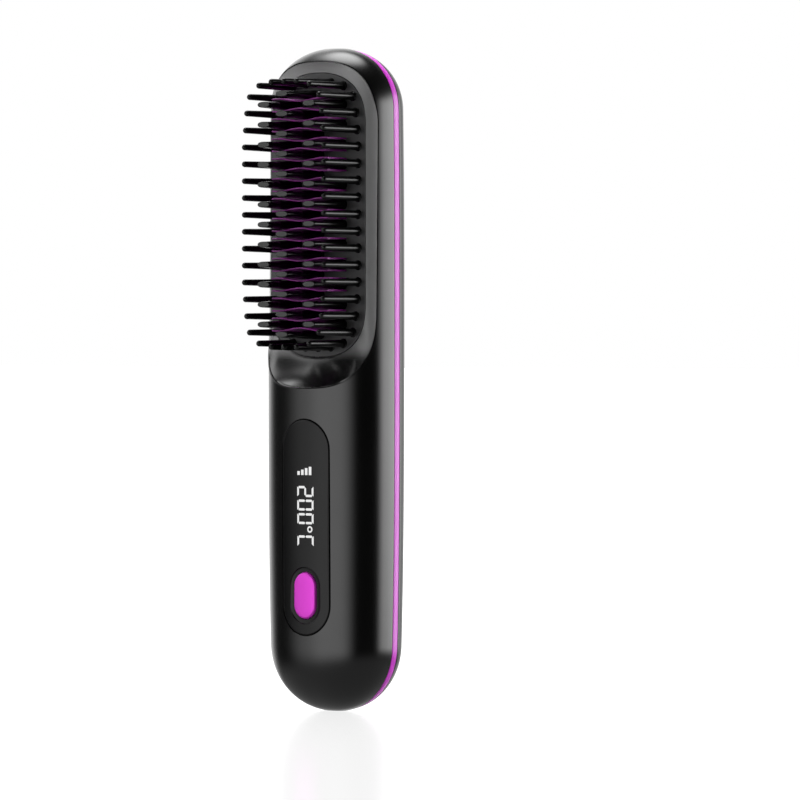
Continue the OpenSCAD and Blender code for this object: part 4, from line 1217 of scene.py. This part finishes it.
def segment_outline(d, first, place, ends):
    """Pointed bar of one lit segment."""
    w = d.segment_width
    across = d.digit_width - w
    along = d.digit_length - w
    top = first - place * d.digit_step - w / 2
    middle = 0.45 * MM + across / 2
    a, b = [np.array([middle - u * across, top - v * along]) for u, v in ends]
    way = (b - a) / np.linalg.norm(b - a) * w
    side = np.array([-way[1], way[0]]) / 2
    if ends[0][0] == ends[1][0] and ends[0][0] != 0.5:
        out = side * (1 - 2 * ends[0][0])
        return np.array([a - way * 0.3 + out, b + way * 0.3 + out,
                         b - way * 0.6 - out, a + way * 0.6 - out])
    p = a + way * 0.55
    q = b - way * 0.55
    return np.array([a + way * 0.1, p + side, q + side, b - way * 0.1, q - side, p - side])


def lit_outlines(d):
    """Outlines of all lit windows."""
    first = panel_middle(d) + READOUT_START
    z = panel_middle(d) + BARS_FOOT
    shapes = []
    for i, height in enumerate(BAR_HEIGHTS):
        x = (BARS_SIDE + BARS_STEP * i) * MM
        shapes.append(np.array([(x, z), (x + MM, z), (x + MM, z + height), (x, z + height)]))
    for place, lit in READOUT:
        shapes += [segment_outline(d, first, place, SEGMENTS[k]) for k in lit]
    return shapes


def degree_ring(name, d, low, high):
    """Small ring of the degree sign, as a tube along Y."""
    at = np.array([2.2 * MM, panel_middle(d) - 0.55 * MM])
    outer = rounds(MM) + at
    inner = rounds(0.52 * MM) + at
    rings = [lift(outer, low), lift(outer, high), lift(inner, high), lift(inner, low)]
    return loop_solid(name, np.stack(rings, axis=1))


def lit_solid(d, low, high):
    """All lit windows as bars along Y."""
    parts = [prism("lit", shape, low, high) for shape in lit_outlines(d)]
    parts.append(degree_ring("lit_ring", d, low, high))
    return join_meshes("lit_bars", parts)


class BRUSH_OT_display_panel(bpy.types.Operator):
    """Smoked panel with softened edges, lit windows and a recess round the button"""
    bl_idname = "brush.display_panel"
    bl_label = "Display panel"

    def execute(self, context):
        c, _, d, f = settings(context)
        middle = panel_middle(d)
        tall = d.panel_high - d.panel_low
        back = c.depth / 2 - d.panel_wall
        soft = 0.2 * MM
        panel = crown_block(c, d)

        def panel_shape(grow):
            return stadium(d.panel_width + 2 * grow, tall + 2 * grow, middle)

        trim = [lift(panel_shape(0), back - MM)] + surface_rings(c, panel_shape, (
            (0, -1.5 * soft), (-0.35 * soft, -0.75 * soft), (-soft, -0.25 * soft),
            (-2.2 * soft, 0.1 * soft), (-3 * soft, soft)))
        trim.append(lift(panel_shape(-3 * soft), c.depth))
        combine(panel, ring_solid("trim", trim), "INTERSECT")
        button_z = d.panel_low + d.button_rise
        floor = float(front_height(c, 0.0, button_z)) - d.recess_depth
        around = d.recess_margin

        def recess_shape(grow):
            return stadium(d.button_width + 2 * (around + grow),
                           d.button_length + 2 * (around + grow), button_z)

        dish = [lift(recess_shape(-0.35 * MM), floor),
                lift(recess_shape(-0.2 * MM), floor + 0.04 * MM)]
        dish += surface_rings(c, recess_shape, ((0, 0), (0.12 * MM, 0.3 * MM)))
        dish.append(lift(recess_shape(0.12 * MM), c.depth))
        combine(panel, ring_solid("dish", dish))
        gap = d.button_gap
        hole = stadium(d.button_width + 2 * gap, d.button_length + 2 * gap, button_z)
        combine(panel, prism("hole", hole, back - MM, c.depth))
        combine(panel, lit_solid(d, back - MM, c.depth))
        polish(c, panel)
        smoked = moulded("Smoked panel", f.panel, 0.3, depth=0.000002, wander=0.03,
                         specular=0.2)
        hand_over(panel, "casing", ["display_panel"], "display_panel", smoked)

        lit = crown_block(c, d, LIT_PROUD)
        combine(lit, lit_solid(d, back - MM, c.depth), "INTERSECT")
        lit.name = "lit_windows"
        hand_over(lit, "casing", ["digit_windows"], "digit_windows",
                  glowing("Lit white", f.lit, 0.78))
        return {"FINISHED"}


class BRUSH_OT_power_button(bpy.types.Operator):
    """Long push button with a softly domed top"""
    bl_idname = "brush.power_button"
    bl_label = "Power button"

    def execute(self, context):
        _, _, d, f = settings(context)
        z = d.panel_low + d.button_rise
        low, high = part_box("power_button")
        top = -low.y
        foot = -high.y
        edge = 0.8 * MM
        dome = 0.12 * MM
        collar = 0.8 * MM
        levels = [(collar, foot), (collar, foot + collar), (0, foot + collar)]
        for a in np.linspace(0, math.pi / 2, 8):
            levels.append((-edge * (1 - math.cos(a)), top - dome - edge * (1 - math.sin(a))))
        for part in (0.3, 0.6, 0.85):
            inset = edge + part * (d.button_width / 2 - edge)
            levels.append((-inset, top - dome * (1 - part) ** 2))
        rings = [lift(stadium(d.button_width + 2 * g, d.button_length + 2 * g, z), y)
                 for g, y in levels]
        button = ring_solid("push_button", rings, 40)
        paint = moulded("Button magenta", f.button, 0.42, grain=0.0001, depth=0.000001,
                        wander=0.03, shift=0.04, metallic=0.4)
        hand_over(button, "button", ["power_button"], "power_button", paint)
        return {"FINISHED"}


class BRUSH_OT_screws(bpy.types.Operator):
    """Casing screws with a cross recess"""
    bl_idname = "brush.screws"
    bl_label = "Screws"

    def execute(self, context):
        c, h, _, _ = settings(context)
        # Radius and front height, from the shaft's end over the head's side to its crown
        rows = [(1.1 * MM, 10 * MM), (1.1 * MM, 0), (2.05 * MM, 0), (2.1 * MM, -0.1 * MM),
                (2.1 * MM, -0.6 * MM)]
        for a in np.linspace(0, math.pi / 2, 7)[1:]:
            rows.append((0.4 * MM + 1.7 * MM * math.cos(a), -0.6 * MM - 0.75 * MM * math.sin(a)))
        screw = turned_solid("screw", rows, 40)
        for turn in (0, 1):
            long, short = (1.15 * MM, 0.25 * MM) if turn else (0.25 * MM, 1.15 * MM)
            slot = np.array([(long, short), (-long, short), (-long, -short), (long, -short)])
            combine(screw, ring_solid("slot", [lift(slot * 0.4, -0.5 * MM),
                                               lift(slot, -1.6 * MM)]))
        steel = brushed("Screw steel", (0.42, 0.42, 0.44), 0.32, (1, 1, 1))
        spots = [(0, seat, z) for z, seat in screw_places(c, h)]
        screws = tree_object("casing_screws", spots_tree(),
                             {"Piece": screw, "Finish": steel}, spots)
        shade(screws.data, 35)
        hand_over(screws, "casing", ["shell_screws"], "steel", steel)
        return {"FINISHED"}


class BRUSH_OT_inner_parts(bpy.types.Operator):
    """Finishes of the pieces inside the casing and of the charging port"""
    bl_idname = "brush.inner_parts"
    bl_label = "Inner parts"

    def execute(self, context):
        steel = brushed("Bright steel", (0.55, 0.55, 0.57), 0.3)
        board = moulded("Board green", (0.01, 0.09, 0.03), 0.4, depth=0.000004, shift=0.2)
        chip = moulded("Chip black", (0.012, 0.012, 0.012), 0.5, depth=0.000006)
        holder = moulded("Holder black", (0.01, 0.01, 0.011), 0.5, depth=0.000006)
        cream = moulded("Holder cream", (0.6, 0.55, 0.43), 0.55, depth=0.000006)
        ceramic = moulded("Ceramic", (0.83, 0.81, 0.74), 0.35, depth=0.000003, shift=0.04)
        finishes = {
            "ceramic_heater": ceramic,
            "mica_sheet": moulded("Mica", (0.48, 0.35, 0.15), 0.3, grain=0.0012,
                                  depth=0.00002, shift=0.3, coat=0.5),
            "insulation_pad": moulded("Glass felt", (0.7, 0.7, 0.66), 0.9, grain=0.0003,
                                      depth=0.00008, shift=0.1, specular=0.1),
            "heater_holder": cream,
            "thermistor": moulded("Glass bead", (0.05, 0.13, 0.05), 0.1, coat=1.0),
            "thermal_fuse": ceramic,
            "heater_screws": steel,
            "heater_leads": moulded("White sleeve", (0.75, 0.75, 0.73), 0.45, shift=0.05),
            "display_module": moulded("Light box", (0.8, 0.8, 0.82), 0.4, shift=0.04),
            "circuit_board": board,
            "control_chip": chip,
            "power_transistors": chip,
            "tact_switch": chip,
            "switch_plunger": moulded("Plunger", (0.7, 0.68, 0.6), 0.4, shift=0.05),
            "board_screws": steel,
            "battery_cells": moulded("Cell sleeve", (0.03, 0.13, 0.45), 0.3, grain=0.0006,
                                     depth=0.000004, shift=0.1, coat=0.3),
            "cell_tabs": brushed("Nickel", (0.6, 0.58, 0.54), 0.28, (0.02, 1, 1)),
            "battery_holder": holder,
            "battery_leads": moulded("Red sleeve", (0.5, 0.01, 0.01), 0.42, shift=0.08),
            "charging_board": board,
            "charging_socket": steel,
            "charging_leads": moulded("Black sleeve", (0.006, 0.006, 0.006), 0.42),
        }
        for node, material in finishes.items():
            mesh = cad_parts[node].data
            mesh.materials.clear()
            mesh.materials.append(material)
        return {"FINISHED"}


# Studio
def direction(azimuth, elevation=0.0):
    """Unit vector for an azimuth that starts at -Y and turns towards +X, in degrees."""
    a = math.radians(azimuth)
    e = math.radians(elevation)
    return Vector((math.sin(a) * math.cos(e), -math.cos(a) * math.cos(e), math.sin(e)))


# Soft lights round the object, in degrees: azimuth, half width, softness of the sides,
# lowest and highest elevation, softness of those edges, and strength
SOFT_LIGHTS = (
    (-13, 29, 17, -17, 15, 8, 3.1),
    (-62, 17, 12, 14, 46, 8, 3.2),
    (134, 33, 14, -8, 17, 6, 7.6),
    (200, 24, 14, -30, 36, 8, 1.0),
    (-118, 22, 14, -14, 40, 8, 2.1),
)
# Round light over the object: azimuth, elevation, half width, softness and strength
TOP_LIGHT = (-125, 69, 16, 11, 9.8)
# Light from the ground, the elevations over which it fades into the dark of the studio, and
# how much more light rays other than reflections get
GROUND_LIGHT = 0.5
GROUND_EDGE = (-26, -12)
DARK_STUDIO = 0.04
SHADE_GAIN = 1.3


def sine(degrees):
    return math.sin(math.radians(degrees))


def soft_light(nodes, view, height, light):
    """Light of one softbox seen in a direction."""
    azimuth, half, side_soft, low, high, end_soft, strength = light
    aside = nodes.dot(view, direction(azimuth + 90))
    turn = nodes.math("ABSOLUTE", nodes.math(
        "ARCTAN2", aside, nodes.dot(view, direction(azimuth))))
    across = nodes.blend(turn, math.radians(half - side_soft), math.radians(half + side_soft),
                         strength, 0)
    above = nodes.blend(height, sine(low - end_soft), sine(low + end_soft), 0, 1)
    below = nodes.blend(height, sine(high - end_soft), sine(high + end_soft), 1, 0)
    return nodes.math("MULTIPLY", across, nodes.math("MULTIPLY", above, below))


class BRUSH_OT_studio(bpy.types.Operator):
    """Level camera, pale floor, white surroundings and soft lights"""
    bl_idname = "brush.studio"
    bl_label = "Studio"

    def execute(self, context):
        s = context.scene.brush_studio
        self.camera(context, s)
        self.floor(s)
        self.world(context)
        context.scene.view_settings.view_transform = "Standard"
        return {"FINISHED"}

    @staticmethod
    def camera(context, s):
        camera = bpy.data.cameras.new("Camera")
        camera.lens = s.lens
        camera.sensor_width = 36
        camera.shift_x = s.shift_x
        camera.shift_y = s.shift_y
        camera.clip_start = 0.05
        camera.clip_end = 100
        obj = bpy.data.objects.new("Camera", camera)
        back = direction(math.degrees(s.azimuth))
        obj.location = back * s.distance + Vector((0, 0, s.height))
        obj.rotation_euler = (-back).to_track_quat("-Z", "Y").to_euler()
        context.scene.collection.objects.link(obj)
        context.scene.camera = obj

    @staticmethod
    def floor(s):
        half = s.floor_size / 2
        mesh = bpy.data.meshes.new("floor")
        mesh.from_pydata([(-half, -half, 0), (half, -half, 0), (half, half, 0),
                          (-half, half, 0)], [], [(0, 1, 2, 3)])
        floor = add_object("floor", mesh)
        material, nodes, shader = new_material("Pale floor")
        seen = nodes.add("ShaderNodeLightPath", {}).outputs["Is Camera Ray"]
        nodes.fill(shader, {
            "Base Color": (0.12, 0.12, 0.12, 1), "Roughness": 0.2, "Specular IOR Level": 0.3,
            "Emission Color": (1, 1, 1, 1), "Emission Strength": nodes.math("MULTIPLY", seen, 0.8)})
        mesh.materials.append(material)
        floor.visible_glossy = False

    @staticmethod
    def world(context):
        world = bpy.data.worlds.new("Studio")
        context.scene.world = world
        world.use_nodes = True
        world.node_tree.nodes.clear()
        nodes = Nodes(world.node_tree)
        view = nodes.add("ShaderNodeTexCoord", {}).outputs["Generated"]
        height = nodes.dot(view, (0, 0, 1))
        total = nodes.blend(height, sine(GROUND_EDGE[0]), sine(GROUND_EDGE[1]), GROUND_LIGHT,
                            DARK_STUDIO)
        for light in SOFT_LIGHTS:
            total = nodes.math("ADD", total, soft_light(nodes, view, height, light))
        azimuth, elevation, half, soft, strength = TOP_LIGHT
        near = nodes.dot(view, direction(azimuth, elevation))
        top = nodes.blend(near, sine(90 - half - soft), sine(90 - half + soft), 0, strength)
        total = nodes.math("ADD", total, top)
        path = nodes.add("ShaderNodeLightPath", {}).outputs
        level = nodes.blend(path["Is Glossy Ray"], 0, 1, SHADE_GAIN, 1)
        lit = nodes.add("ShaderNodeBackground", {
            "Strength": nodes.math("MULTIPLY", total, level)})
        seen = nodes.add("ShaderNodeBackground", {"Color": (1, 1, 1, 1)})
        mixed = nodes.add("ShaderNodeMixShader", {
            0: path["Is Camera Ray"], 1: lit.outputs[0], 2: seen.outputs[0]})
        nodes.add("ShaderNodeOutputWorld", {"Surface": mixed.outputs[0]})


GROUPS = (
    ("brush_casing", BrushCasingSizes),
    ("brush_head", BrushHeadSizes),
    ("brush_handle", BrushHandleSizes),
    ("brush_finishes", BrushFinishes),
    ("brush_studio", BrushStudio),
)
OPERATORS = (
    BRUSH_OT_studio,
    BRUSH_OT_front_shell,
    BRUSH_OT_rear_shell,
    BRUSH_OT_band,
    BRUSH_OT_head_frame,
    BRUSH_OT_comb_plate,
    BRUSH_OT_guard_pins,
    BRUSH_OT_heating_plate,
    BRUSH_OT_heating_teeth,
    BRUSH_OT_display_panel,
    BRUSH_OT_power_button,
    BRUSH_OT_screws,
    BRUSH_OT_inner_parts,
)


class BRUSH_PT_panel(bpy.types.Panel):
    """Lists the pieces and the sizes"""
    bl_idname = "BRUSH_PT_panel"
    bl_label = "Hair straightening brush"
    bl_space_type = "VIEW_3D"
    bl_region_type = "UI"
    bl_category = "Brush"

    def draw(self, context):
        column = self.layout.column(align=True)
        for operator in OPERATORS:
            column.operator(operator.bl_idname)
        for attribute, group in GROUPS:
            box = self.layout.box()
            values = getattr(context.scene, attribute)
            for name in group.__annotations__:
                box.prop(values, name)


def register():
    for attribute, group in GROUPS:
        bpy.utils.register_class(group)
        setattr(bpy.types.Scene, attribute, PointerProperty(type=group))
    for item in OPERATORS + (BRUSH_PT_panel,):
        bpy.utils.register_class(item)


def unregister():
    for item in (BRUSH_PT_panel,) + OPERATORS[::-1]:
        bpy.utils.unregister_class(item)
    for attribute, group in GROUPS[::-1]:
        delattr(bpy.types.Scene, attribute)
        bpy.utils.unregister_class(group)


def main():
    register()
    for operator in OPERATORS:
        group, name = operator.bl_idname.split(".")
        getattr(getattr(bpy.ops, group), name)()


if __name__ == "__main__":
    main()
